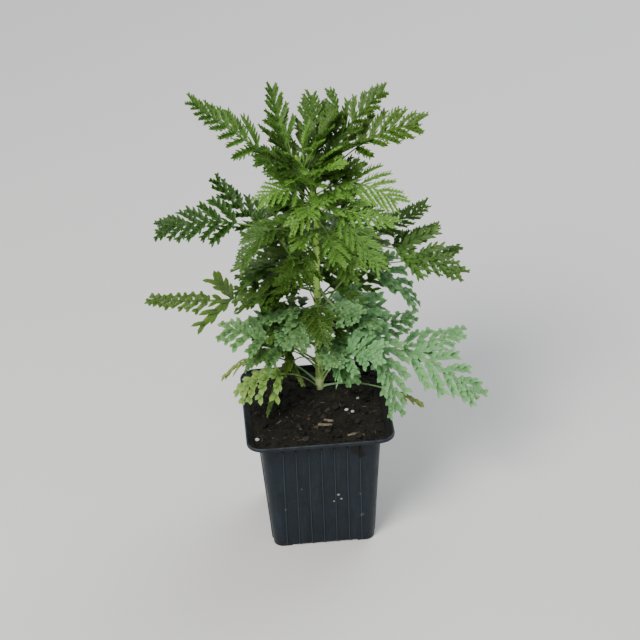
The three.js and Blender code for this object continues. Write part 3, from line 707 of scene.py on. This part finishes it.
stem.data.materials.append(stem_skin)
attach(stem, "root")
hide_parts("stem")


# ------------------------------
# Leaves
# Forty-seven twice-divided leaves, each one growth: a grooved stalk that runs on as the midrib,
# leaflets in pairs along it, and finger-like lobes on each leaflet. The upper leaves are fine and dark
# at their tips, the youngest thread-fine and yellow-green, the lowest broad lobed and bluish with bloom,
# and two old ones are turning yellow. Each stalk clasps the stem.

GAP = 0.3
STALK_HALF, STALK_TIP_HALF, STALK_THICK = 0.85, 0.45, 0.5
UP = np.array([0.0, 0.0, 1.0])
LIGHT_SIDE = np.array([-0.1, -0.75, 0.66])  # the side the plant has grown towards, which its leaflets turn to

# How each kind of leaf divides. Pairs are a base in millimetres and a share to add. On the leaf:
# turn to the light, size of its leaflets against the plain measure, their pitch as a share of their
# length, spread from the midrib in degrees, wing of the midrib. On a leaflet, by its length: length and
# spacing of the lobes, which are longest at peak and shorter at the foot and end, and droop of the
# leaflet. By the lobe length: half width of a lobe and of the rib, whose web starts at the share neck of
# its width and is full at the share full of its length. On a lobe: angle, lift off the leaflet's plane,
# bluntness, tooth pitch, notch. Then the fold of every blade and the strength of the stalk.
FINE = dict(
    turn=0.9, size=1.22, pitch=0.35, spread=52, wing=0.5, lobe=(0.9, 0.24), spacing=(1.1, 0.08),
    half=(0.42, 0.08), rib=(0.45, 0.22), neck=0.5, full=0.45, foot=0.85, peak=0.35, end=0.6, droop=0.14,
    angle=40, lift=0.5, blunt=0.5, tooth=9.0, notch=0.6, fold=0.5, stalk=0.8,
)
KINDS = {
    "fine": FINE,
    "large": FINE | dict(
        size=1.26, pitch=0.42, wing=0.6, lobe=(1.0, 0.27), spacing=(1.2, 0.12), half=(0.55, 0.13),
        rib=(0.5, 0.22), foot=0.8, angle=46, lift=0.6, blunt=0.6, tooth=2.6, notch=0.74,
    ),
    "crown": FINE | dict(
        turn=0.8, size=1.12, pitch=0.3, spread=44, wing=0.6, lobe=(0.9, 0.18), half=(0.4, 0.09),
        rib=(0.45, 0.24), neck=0.6, foot=0.8, peak=0.4, end=0.75, droop=0.1, angle=34, lift=0.45,
    ),
    "young": FINE | dict(
        turn=0.7, size=1.25, pitch=0.28, spread=50, wing=0.3, lobe=(0.8, 0.17), spacing=(1.55, 0.02),
        half=(0.3, 0.035), rib=(0.4, 0.17), neck=0.45, droop=0.16, angle=44, lift=0.6, blunt=0.4,
        fold=0.4, stalk=0.62,
    ),
    "clump": FINE | dict(
        turn=0.7, size=1.15, pitch=0.6, spread=56, lobe=(1.4, 0.34), spacing=(1.6, 0.18), half=(0.9, 0.1),
        rib=(0.6, 0.22), neck=0.4, full=0.5, foot=0.7, peak=0.5, end=0.7, droop=0.2, angle=42, lift=0.35,
        blunt=0.8, fold=0.35, stalk=0.85,
    ),
    "broad": FINE | dict(
        turn=0.6, size=1.2, pitch=0.52, spread=54, wing=0.8, lobe=(1.4, 0.26), spacing=(1.7, 0.12),
        half=(0.85, 0.11), rib=(0.4, 0.42), neck=0.2, full=0.75, foot=0.5, peak=0.65, end=0.8, droop=0.26,
        angle=42, lift=0.35, blunt=0.95, tooth=4.2, notch=0.8, fold=0.4, stalk=1.0,
    ),
    "hanging": FINE | dict(
        turn=0.3, size=1.2, pitch=0.66, spread=44, lobe=(1.6, 0.28), spacing=(1.9, 0.14), half=(0.9, 0.1),
        rib=(0.5, 0.24), neck=0.35, full=0.65, foot=0.6, peak=0.65, end=0.8, droop=0.6, angle=36,
        lift=0.4, blunt=0.95,
    ),
    "limp": FINE | dict(
        turn=0.3, size=1.0, pitch=0.4, spread=38, wing=0.6, lobe=(0.9, 0.22), spacing=(1.3, 0.08),
        half=(0.5, 0.1), rib=(0.5, 0.3), full=0.5, foot=0.8, peak=0.5, end=0.7, droop=0.2, angle=36,
        blunt=0.6, fold=0.6,
    ),
    "old": FINE | dict(
        turn=0.2, size=0.9, pitch=0.7, spread=30, wing=0.8, lobe=(0.6, 0.08), spacing=(3.0, 0.3),
        half=(0.5, 0.1), rib=(1.3, 0.3), neck=0.6, full=0.6, foot=0.5, peak=0.6, end=0.7, droop=0.6,
        angle=26, lift=0.2, blunt=0.8, fold=0.4, stalk=1.1,
    ),
}
# Leaves that divide in another way than their kind in the list does.
SHAPES = {
    "top_back": "crown", "top_middle": "crown", "top_right_inner": "crown", "top_centre": "crown",
    "back_left": "clump", "back_left_inner": "clump", "far_right_back": "clump",
    "right": "large", "left": "large", "left_raised": "large", "back_middle": "large", "back_upper": "large",
    "front_low": "fine", "low_left_dark": "limp", "low_left_front": "hanging",
}


def unit(v):
    return v / np.linalg.norm(v)


def turned(v, axis, angle):
    """v turned about a unit axis."""
    c, s = math.cos(angle), math.sin(angle)
    return v * c + np.cross(axis, v) * s + axis * np.dot(axis, v) * (1 - c)


def midrib(row, share):
    """Point, forward direction, sideways direction and upper normal on a leaf's midrib."""
    _, height, direction, reach, rise, arch, sweep, tilt = row[:8]
    a = math.radians(direction)
    out = np.array([math.cos(a), math.sin(a), 0.0])
    side = np.array([-math.sin(a), math.cos(a), 0.0])
    foot_point, radius = stem_at(height)
    hump, slope = 4 * share * (1 - share), 4 * (1 - 2 * share)
    steep = abs(rise + 4 * arch) / math.hypot(reach, rise + 4 * arch)
    point = foot_point + out * (radius + GAP + STALK_THICK * steep + reach * share)
    point = point + side * sweep * hump + UP * (rise * share + arch * hump)
    forward = unit(out * reach + side * sweep * slope + UP * (rise + arch * slope))
    across = turned(unit(side - forward * np.dot(side, forward)), forward, math.radians(tilt))
    return point, forward, across, unit(np.cross(forward, across))


BLADE_HALF_THICK = 0.14
BLADE_FACES = {stations: ring_faces(4, stations) for stations in range(4, 24)}


def blade(leaf, kind, base, way, normal, length, half, tone, bend, stations, teeth=0, neck=0.75, full=0.45):
    """One thin closed blade, grooved above and keeled below, with forward teeth on its edges if asked."""
    if teeth:
        part = 1 / (teeth + 0.9)
        steps = [(0.0, 1.0, 0.0)]
        for k in range(teeth):
            steps += [((k + 0.5) * part, 1.0, 0.42 * part), ((k + 0.94) * part, kind["notch"], 0.0)]
        rest = teeth * part
        steps += [(rest + 0.4 * (1 - rest), 0.85, 0.0), (1.0, 1.0, 0.0)]
    else:
        steps = [(step, 1.0, 0.0) for step in np.linspace(0, 1, stations)]
    s, edge, forward = np.array(steps).T
    path = base + np.outer(s * length, way) + np.outer(s * s * length, bend)
    along = np.gradient(path, axis=0)
    along /= np.linalg.norm(along, axis=1)[:, None]
    side = np.cross(normal, along)
    side /= np.linalg.norm(side, axis=1)[:, None]
    over = np.cross(along, side)
    blunt = kind["blunt"]
    pointed = np.clip(1.6 * (1 - s) ** 0.8, 0, 1)
    rounded = np.sqrt(np.clip(1 - np.clip((s - 0.72) / 0.28, 0, 1) ** 2, 0, 1))
    swelling = neck + (1 - neck) * np.sin(np.pi / 2 * np.clip(s / full, 0, 1))
    width = half * edge * swelling * ((1 - blunt) * pointed + blunt * rounded)
    width[-1] = max(width[-1], 0.07)
    thick = np.maximum(BLADE_HALF_THICK * (1 - 0.6 * s) * min(1.0, half / 0.4), 0.035)
    rim = path + over * (kind["fold"] * width)[:, None] + along * (forward * length)[:, None]
    out = side * width[:, None]
    deep = over * thick[:, None]
    ring = np.stack([rim - out, path - deep, rim + out, path + deep], axis=1)
    leaf.add(
        ring.reshape(-1, 3),
        BLADE_FACES[len(s)],
        tip=np.repeat(s, 4),
        vein=np.tile([0, 1, 0, 1], len(s)) * np.repeat(1 - 0.7 * s, 4),
        tone=tone,
    )
    return path, along, over


def lobe(leaf, draw, kind, base, way, forward, normal, length, tone):
    """A lobe, curving a little towards the leaflet's tip, toothed when it is long."""
    bend = 0.22 * forward - 0.05 * UP + draw.uniform(-0.12, 0.12) * normal
    half = (kind["half"][0] + kind["half"][1] * length) * draw.uniform(0.9, 1.1)
    teeth = int(length / kind["tooth"] - 0.3)
    blade(leaf, kind, base, way, normal, length, half, tone, bend, 4 if length < 2.5 else 5, min(teeth, 6))


def leaflet(leaf, draw, kind, base, way, forward, normal, length, tone, lean=0.14):
    """A leaflet: its winged rib from the midrib outwards, and lobes left and right of it."""
    bend = -kind["droop"] * UP + lean * forward
    longest = kind["lobe"][0] + kind["lobe"][1] * length
    rib = kind["rib"][0] + kind["rib"][1] * longest
    stations = 9 if length > 8 else 6
    web = {**kind, "blunt": 0.8}
    path, along, over = blade(
        leaf, web, base, way, normal, length, rib, tone, bend, stations, neck=kind["neck"], full=kind["full"]
    )
    lobes = max(2, round(0.86 * length / (kind["spacing"][0] + kind["spacing"][1] * length)))
    for k in range(lobes):
        share = 0.1 + 0.72 * k / (lobes - 1)
        swell = np.interp(share, [0, kind["peak"], 1], [kind["foot"], 1, kind["end"]])
        for hand in (1, -1):
            s = share + draw.uniform(-0.02, 0.02) + (0.03 if hand > 0 else 0)
            x = s * (stations - 1)
            i = min(int(x), stations - 2)
            at = path[i] * (i + 1 - x) + path[i + 1] * (x - i)
            ahead, upper = along[i], over[i]
            a = math.radians(kind["angle"] - 10 * s + draw.uniform(-6, 6))
            aside = np.cross(upper, ahead) * hand
            aim = ahead * math.cos(a) + aside * math.sin(a)
            aim = unit(aim + upper * kind["lift"] * draw.uniform(0.4, 1.4))
            size = max(longest * swell * draw.uniform(0.86, 1.14), 1.2)
            # Painted light and shade: the lobes on one side of each leaflet are lighter than those on the
            # other, with random tone on top.
            shade = tone + 0.12 * hand + draw.uniform(-0.16, 0.16)
            lobe(leaf, draw, kind, at, aim, ahead, upper, size, shade)


def grow(leaf, row):
    """Adds one whole leaf, its stalk rooted in the stem, to a heap of blades."""
    name, height, direction = row[:3]
    bare, pairs, first, rest, kind_name, light, yellow = row[8:]
    kind = KINDS[SHAPES.get(name, kind_name)]
    draw = random.Random(sum(ord(c) * (i + 3) for i, c in enumerate(name)))
    leaf.fixed["yellow"] = yellow
    line = np.array([midrib(row, share)[0] for share in np.linspace(0, 1, 21)])
    length = float(np.linalg.norm(np.diff(line, axis=0), axis=1).sum())
    a = math.radians(direction)
    into = np.array([math.cos(a), math.sin(a), 0.0])
    radius = stem_at(height)[1]

    shares = np.linspace(0, 1, 26)
    ring_points = []
    for share in np.concatenate([[-1], shares]):  # -1 is the root inside the stem
        point, forward, across, normal = midrib(row, max(share, 0))
        if share < 0:
            point = point - into * (GAP + 0.5 * radius) - UP * 0.5
        clasp = math.exp(-max(share, 0) * length / 1.6)
        across_half = (STALK_HALF + (STALK_TIP_HALF - STALK_HALF) * max(share, 0)) * kind["stalk"] * 0.92
        across_half = across_half * (1 + 0.95 * clasp)
        if share > bare:
            across_half += kind["wing"] * min(1.0, (share - bare) / 0.05)
        across_half *= 1 if share < 0.97 else 0.5
        thick = (0.48 - 0.26 * max(share, 0)) * kind["stalk"] * (1 + 0.5 * clasp)
        for turn in range(8):
            u, w = math.cos(turn * math.pi / 4), math.sin(turn * math.pi / 4)
            groove = 0.45 if turn == 2 else 1.0
            ring_points.append(point + across * across_half * u + normal * thick * w * groove)
    along = np.repeat(np.concatenate([[0], shares]), 8)
    faces = ring_faces(8, len(shares) + 1)
    leaf.add(ring_points, faces, tip=along * 0.5, vein=1.0, tone=light, stalk=1 - 0.55 * along)

    bladed = (1 - bare) * length
    part = 0.0
    while part < 0.93:
        place = part * pairs
        size = first + (rest - first) * place if place < 1 else rest * (1 - 0.6 * (place - 1) / (pairs - 1))
        size *= kind["size"]
        step = (kind["pitch"] * size + 0.9) / bladed
        point, forward, across, normal = midrib(row, bare + (1 - bare) * part)
        spread = math.radians(kind["spread"] - 16 * part)
        for hand in (1, -1):
            a = spread + math.radians(draw.uniform(-5, 5))
            way = forward * math.cos(a) + across * hand * math.sin(a)
            way = unit(way + normal * draw.uniform(0.02, 0.22))
            plane = unit(normal + LIGHT_SIDE * kind["turn"] * draw.uniform(0.6, 1.4))
            plane = turned(plane, way, math.radians(draw.uniform(-14, 14)))
            plane = unit(plane - way * np.dot(plane, way))
            shade = light + draw.uniform(-0.15, 0.15)
            start = point + forward * hand * min(0.8, 0.08 * size)
            leaflet(leaf, draw, kind, start, way, forward, plane, size * draw.uniform(0.95, 1.08), shade)
        if size > 8:
            point, forward, across, normal = midrib(row, bare + (1 - bare) * min(part + 0.5 * step, 1))
            for hand in (1, -1):
                way = unit(forward * 0.75 + across * hand * 0.66 + normal * 0.15)
                lobe(leaf, draw, kind, point, way, forward, normal, size * draw.uniform(0.2, 0.3), light)
        part += step
    last = max(bare, 1 - max(5.0, 0.16 * bladed) / length)
    point, forward, across, normal = midrib(row, last)
    leaflet(leaf, draw, kind, point, forward, forward, normal, (1 - last) * length, light + 0.05, 0)


tissue_group, inner, result = new_group(
    "leaf_tissue",
    [(label, "Color", (1, 1, 1, 1)) for label in ("Deep", "Light", "Tip", "Vein", "Stalk", "Yellow")]
    + [(label, "Float", 0.5) for label in ("Tip share", "Vein share")],
    [("Color", "Color"), ("Value", "Float"), ("Height", "Float")],
)
t = tissue_group
tip, vein, tone, stalk, yellow = (
    point_value(t, key) for key in ("tip", "vein", "tone", "stalk", "yellow")
)
patch = mottle(t, 0.004, 0.7)
pores = mottle(t, 0.0009, 0.9)
level = maths(t, "ADD", tone, times(t, maths(t, "SUBTRACT", patch["Value"], 0.5), 0.9))
# Painted shade: every blade is darker towards its base and lighter towards its tip, as if its inner part lay
# in shadow.
level = maths(t, "ADD", level, times(t, maths(t, "SUBTRACT", tip, 0.5), 0.35), clamp=True)
colour = mix(t, level, inner["Deep"], inner["Light"])
aged = times(t, yellow, ramp(t, maths(t, "ADD", tip, patch["Value"]), 0.45, 1.25, 0.35, 1))
colour = mix(t, aged, colour, inner["Yellow"])
lit = ramp(t, tone, -0.4, 0.35, 0.1, 1)  # the darkest leaves hardly show their veins and tips
vein = maths(t, "MULTIPLY", times(t, vein, lit), inner["Vein share"], clamp=True)
colour = mix(t, vein, colour, inner["Vein"])
tip = times(t, ramp(t, tip, 0.4, 1.0), lit)
tip = maths(t, "MULTIPLY", tip, inner["Tip share"], clamp=True)
colour = mix(t, tip, colour, inner["Tip"])
colour = mix(t, ramp(t, stalk, 0.2, 0.9), colour, inner["Stalk"])
t.links.new(mix(t, ramp(t, pores["Value"], 0.35, 0.7, 0, 0.16), colour, inner["Light"]), result["Color"])
t.links.new(patch["Value"], result["Value"])
t.links.new(pores["Value"], result["Height"])


def leaf_material(name, rough_low, rough_high, **colours):
    material, tree, shader = new_material(
        name, IOR=1.4, Specular_IOR_Level=0.35, Subsurface_Weight=0.18, Subsurface_Scale=0.0012
    )
    shader["Subsurface Radius"].default_value = (0.5, 1.0, 0.25)
    inputs = {key.replace("_", " "): (*v, 1) if isinstance(v, tuple) else v for key, v in colours.items()}
    tissue = place_group(tree, tissue_group, inputs)
    roughness = ramp(tree, tissue["Value"], 0.3, 0.7, rough_low, rough_high)
    surface(tree, shader, tissue["Color"], roughness, tissue["Height"], 0.00008)
    return material


LEAF_SKINS = {
    "fine": leaf_material(
        "fine_leaf", 0.36, 0.54,
        Deep=(0.018, 0.047, 0.007), Light=(0.088, 0.210, 0.036), Tip=(0.014, 0.028, 0.004), Tip_share=0.5,
        Vein=(0.12, 0.25, 0.045), Vein_share=0.35, Stalk=(0.15, 0.27, 0.06), Yellow=(0.13, 0.21, 0.015),
    ),
    "young": leaf_material(
        "young_leaf", 0.36, 0.52,
        Deep=(0.015, 0.056, 0.004), Light=(0.130, 0.325, 0.045), Tip=(0.19, 0.41, 0.07), Tip_share=0.35,
        Vein=(0.26, 0.46, 0.10), Vein_share=0.45, Stalk=(0.26, 0.45, 0.09), Yellow=(0.19, 0.32, 0.02),
    ),
    "broad": leaf_material(
        "broad_leaf", 0.5, 0.66,
        Deep=(0.030, 0.085, 0.022), Light=(0.155, 0.380, 0.140), Tip=(0.23, 0.46, 0.20), Tip_share=0.4,
        Vein=(0.21, 0.42, 0.16), Vein_share=0.35, Stalk=(0.27, 0.42, 0.14), Yellow=(0.20, 0.30, 0.025),
    ),
    "old": leaf_material(
        "old_leaf", 0.5, 0.66,
        Deep=(0.07, 0.13, 0.02), Light=(0.20, 0.29, 0.05), Tip=(0.34, 0.36, 0.09), Tip_share=0.5,
        Vein=(0.30, 0.36, 0.13), Vein_share=0.5, Stalk=(0.20, 0.36, 0.16), Yellow=(0.24, 0.29, 0.04),
    ),
}


def foliage(name, rows, skin_name):
    """One piece made of the leaves in some rows."""
    heap = Heap("tip", "vein", "tone", "stalk", "yellow")
    for row in rows:
        grow(heap, row)
    made = heap.piece(name, 50)
    made.data.materials.append(LEAF_SKINS[skin_name])
    return made


for row in LEAVES:
    # The leaf in front of the stem lies in shade and takes the darker colours of the fine leaves: painted
    # shade.
    leaf = foliage("leaf_" + row[0] + "_detailed", [row], "fine" if row[0] == "front_low" else row[12])
    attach(leaf, "root")
    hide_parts("leaf_" + row[0])


# ------------------------------
# Side shoots
# Forty-two short side shoots opening between the large leaves, all round the stem: each a tuft of two
# to four small leaves, fine inside the crown and painted darker there for its shade, yellow-green where
# they are youngest and broad near the soil. They grow out of the stem at the nodes and are part of it.

# Height on the stem, direction round it, number of leaves, length of the longest, least and most
# climb in degrees, kind, lightness, which is partly the leaves' own tone and partly painted light and shade.
LEAF_FAN = 44  # degrees between two leaves of a tuft
SIDE_SHOOTS = [
    (240, 350, 2, 36, 50, 66, "crown", 0.4), (238, 200, 2, 34, 44, 62, "crown", 0.5),
    (238, 60, 2, 34, 50, 68, "crown", 0.3), (235, 10, 3, 44, 32, 52, "fine", 0.3),
    (234, 325, 2, 36, 34, 54, "fine", 0.35), (232, 165, 2, 42, 34, 50, "fine", 0.4),
    (230, 205, 2, 40, 22, 38, "fine", 0.45), (233, 215, 3, 26, 10, 60, "young", 0.6),
    (228, 20, 3, 30, 20, 50, "fine", 0.1), (226, 345, 3, 34, 5, 35, "fine", 0.2),
    (224, 285, 3, 30, 0, 58, "young", 0.6), (218, 238, 4, 34, 0, 50, "young", 0.5),
    (215, 316, 4, 36, 0, 45, "young", 0.55), (212, 150, 3, 36, 0, 40, "fine", 0.3),
    (213, 200, 3, 32, 0, 35, "fine", 0.2), (209, 268, 2, 26, 20, 50, "young", 0.4),
    (204, 30, 3, 36, 0, 30, "fine", 0.2), (206, 335, 3, 44, -15, 15, "young", 0.45),
    (200, 222, 2, 34, -5, 25, "young", 0.25), (201, 326, 2, 46, -30, -5, "young", 0.4),
    (192, 345, 3, 42, -30, -5, "fine", 0.3), (194, 195, 2, 38, -10, 20, "fine", 0.15),
    (187, 240, 2, 24, -20, 10, "young", 0.2), (188, 330, 2, 40, -40, -15, "fine", 0.3),
    (180, 195, 3, 42, -25, 10, "fine", 0.1), (172, 140, 3, 52, -25, 15, "clump", 0.1),
    (186, 75, 3, 48, -25, 15, "clump", 0.3), (176, 40, 2, 50, -10, 10, "clump", 0.3),
    (166, 100, 3, 46, -25, 15, "clump", 0.2), (150, 60, 3, 44, -25, 15, "clump", 0.3),
    (148, 300, 2, 34, -20, 5, "fine", 0.0), (146, 215, 2, 36, -15, 15, "broad", 0.1),
    (143, 335, 2, 38, -15, 10, "broad", 0.3), (140, 160, 2, 42, -20, 5, "clump", 0.2),
    (136, 285, 2, 26, -15, 5, "fine", -0.2), (133, 25, 2, 44, -15, 5, "broad", 0.3),
    (128, 195, 2, 40, -10, 15, "broad", 0.2), (124, 320, 3, 40, -20, 5, "broad", 0.5),
    (118, 170, 2, 36, -10, 15, "broad", 0.1), (112, 330, 2, 34, -15, 15, "broad", 0.5),
    (166, 168, 2, 58, -14, 0, "clump", -0.1), (156, 186, 2, 46, -12, 8, "clump", 0.0),
]
for number, (height, direction, leaves, longest, least, most, kind_name, lightness) in enumerate(SIDE_SHOOTS):
    draw = random.Random(301 + 7 * number)
    rows = []
    for k in range(leaves):
        aim = direction + (k - (leaves - 1) / 2) * LEAF_FAN + draw.uniform(-12, 12)
        length = longest * draw.uniform(0.75, 1.0)
        climb = math.radians(draw.uniform(least, most))
        rows.append((
            f"side_{number}_{k}", height + draw.uniform(-2, 2), aim, length * math.cos(climb),
            length * math.sin(climb), draw.uniform(1, 4), draw.uniform(-3, 3), draw.uniform(-25, 25),
            0.3, 4, length * 0.34, length * 0.3, kind_name, lightness + draw.uniform(-0.2, 0.2), 0.15,
        ))
    skin_name = kind_name if kind_name in LEAF_SKINS else "fine"
    shoot = foliage(f"side_shoot_{number:02d}", rows, skin_name)
    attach(shoot, "root")

# Two small leaves low on the stem have gone limp and hang over the soil. Rows as in the list of leaves.
LIMP_LEAVES = [
    ("limp_inner", 101, 239, 17, -4, 18, -15, 0, 0.5, 4, 6, 5, "limp", 0.1, 0.4),
    ("limp_middle", 104, 220, 43, -19, 19, 0, 0, 0.45, 5, 6, 5, "limp", 0.1, 0.4),
]
for row in LIMP_LEAVES:
    leaf = foliage(row[0] + "_leaf", [row], "fine")
    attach(leaf, "root")


# ------------------------------
# Floor, light and camera
# A plain pale floor, a large window lamp at the front left, a weaker sky lamp behind, and the camera
# where it stood for the photo, turned about its axis by a small roll.

FAR = 9000
floor = new_piece("floor", [(-FAR, -FAR, 0), (FAR, -FAR, 0), (FAR, FAR, 0), (-FAR, FAR, 0)], [(0, 1, 2, 3)])
paper, t, shader = new_material("pale_floor")
shader["Base Color"].default_value = (0.70, 0.69, 0.67, 1)
shader["Roughness"].default_value = 0.8
floor.data.materials.append(paper)

world = bpy.data.worlds.new("studio")
bpy.context.scene.world = world
world.use_nodes = True
world.node_tree.nodes["Background"].inputs["Color"].default_value = (0.86, 0.9, 0.95, 1)
world.node_tree.nodes["Background"].inputs["Strength"].default_value = 0.5


def soft_light(name, place, size, power, tint):
    lamp = bpy.data.lights.new(name, "AREA")
    lamp.shape, lamp.size, lamp.energy, lamp.color = "DISK", size, power, tint
    lamp_object = bpy.data.objects.new(name, lamp)
    bpy.context.scene.collection.objects.link(lamp_object)
    lamp_object.location = place
    aim = Vector((0, 0, 0.12)) - Vector(place)
    lamp_object.rotation_euler = aim.to_track_quat("-Z", "Y").to_euler()


soft_light("window", (-0.65, -0.92, 1.42), 0.8, 36, (1.0, 0.98, 0.95))
soft_light("sky", (0.7, 0.9, 1.3), 1.2, 16, (0.93, 0.96, 1.0))

PHOTO_PIXELS, FOCAL_PIXELS, SENSOR_WIDTH = 640, 2200, 36
CAMERA_PLACE = (-0.0662, -1.1250, 0.8438)
camera_data = bpy.data.cameras.new("camera")
camera_data.sensor_width = SENSOR_WIDTH
camera_data.lens = FOCAL_PIXELS / PHOTO_PIXELS * SENSOR_WIDTH
camera_data.clip_start, camera_data.clip_end = 0.05, 60
camera = bpy.data.objects.new("camera", camera_data)
bpy.context.scene.collection.objects.link(camera)
ahead = Vector((0.0535, 0.8480, -0.5272)).normalized()
level = Vector((ahead.y, -ahead.x, 0)).normalized()
above = level.cross(ahead)
roll = math.radians(2.408)
right = level * math.cos(roll) - above * math.sin(roll)
up = level * math.sin(roll) + above * math.cos(roll)
camera.matrix_world = Matrix(
    (
        (right.x, up.x, -ahead.x, CAMERA_PLACE[0]),
        (right.y, up.y, -ahead.y, CAMERA_PLACE[1]),
        (right.z, up.z, -ahead.z, CAMERA_PLACE[2]),
        (0, 0, 0, 1),
    )
)
bpy.context.scene.camera = camera
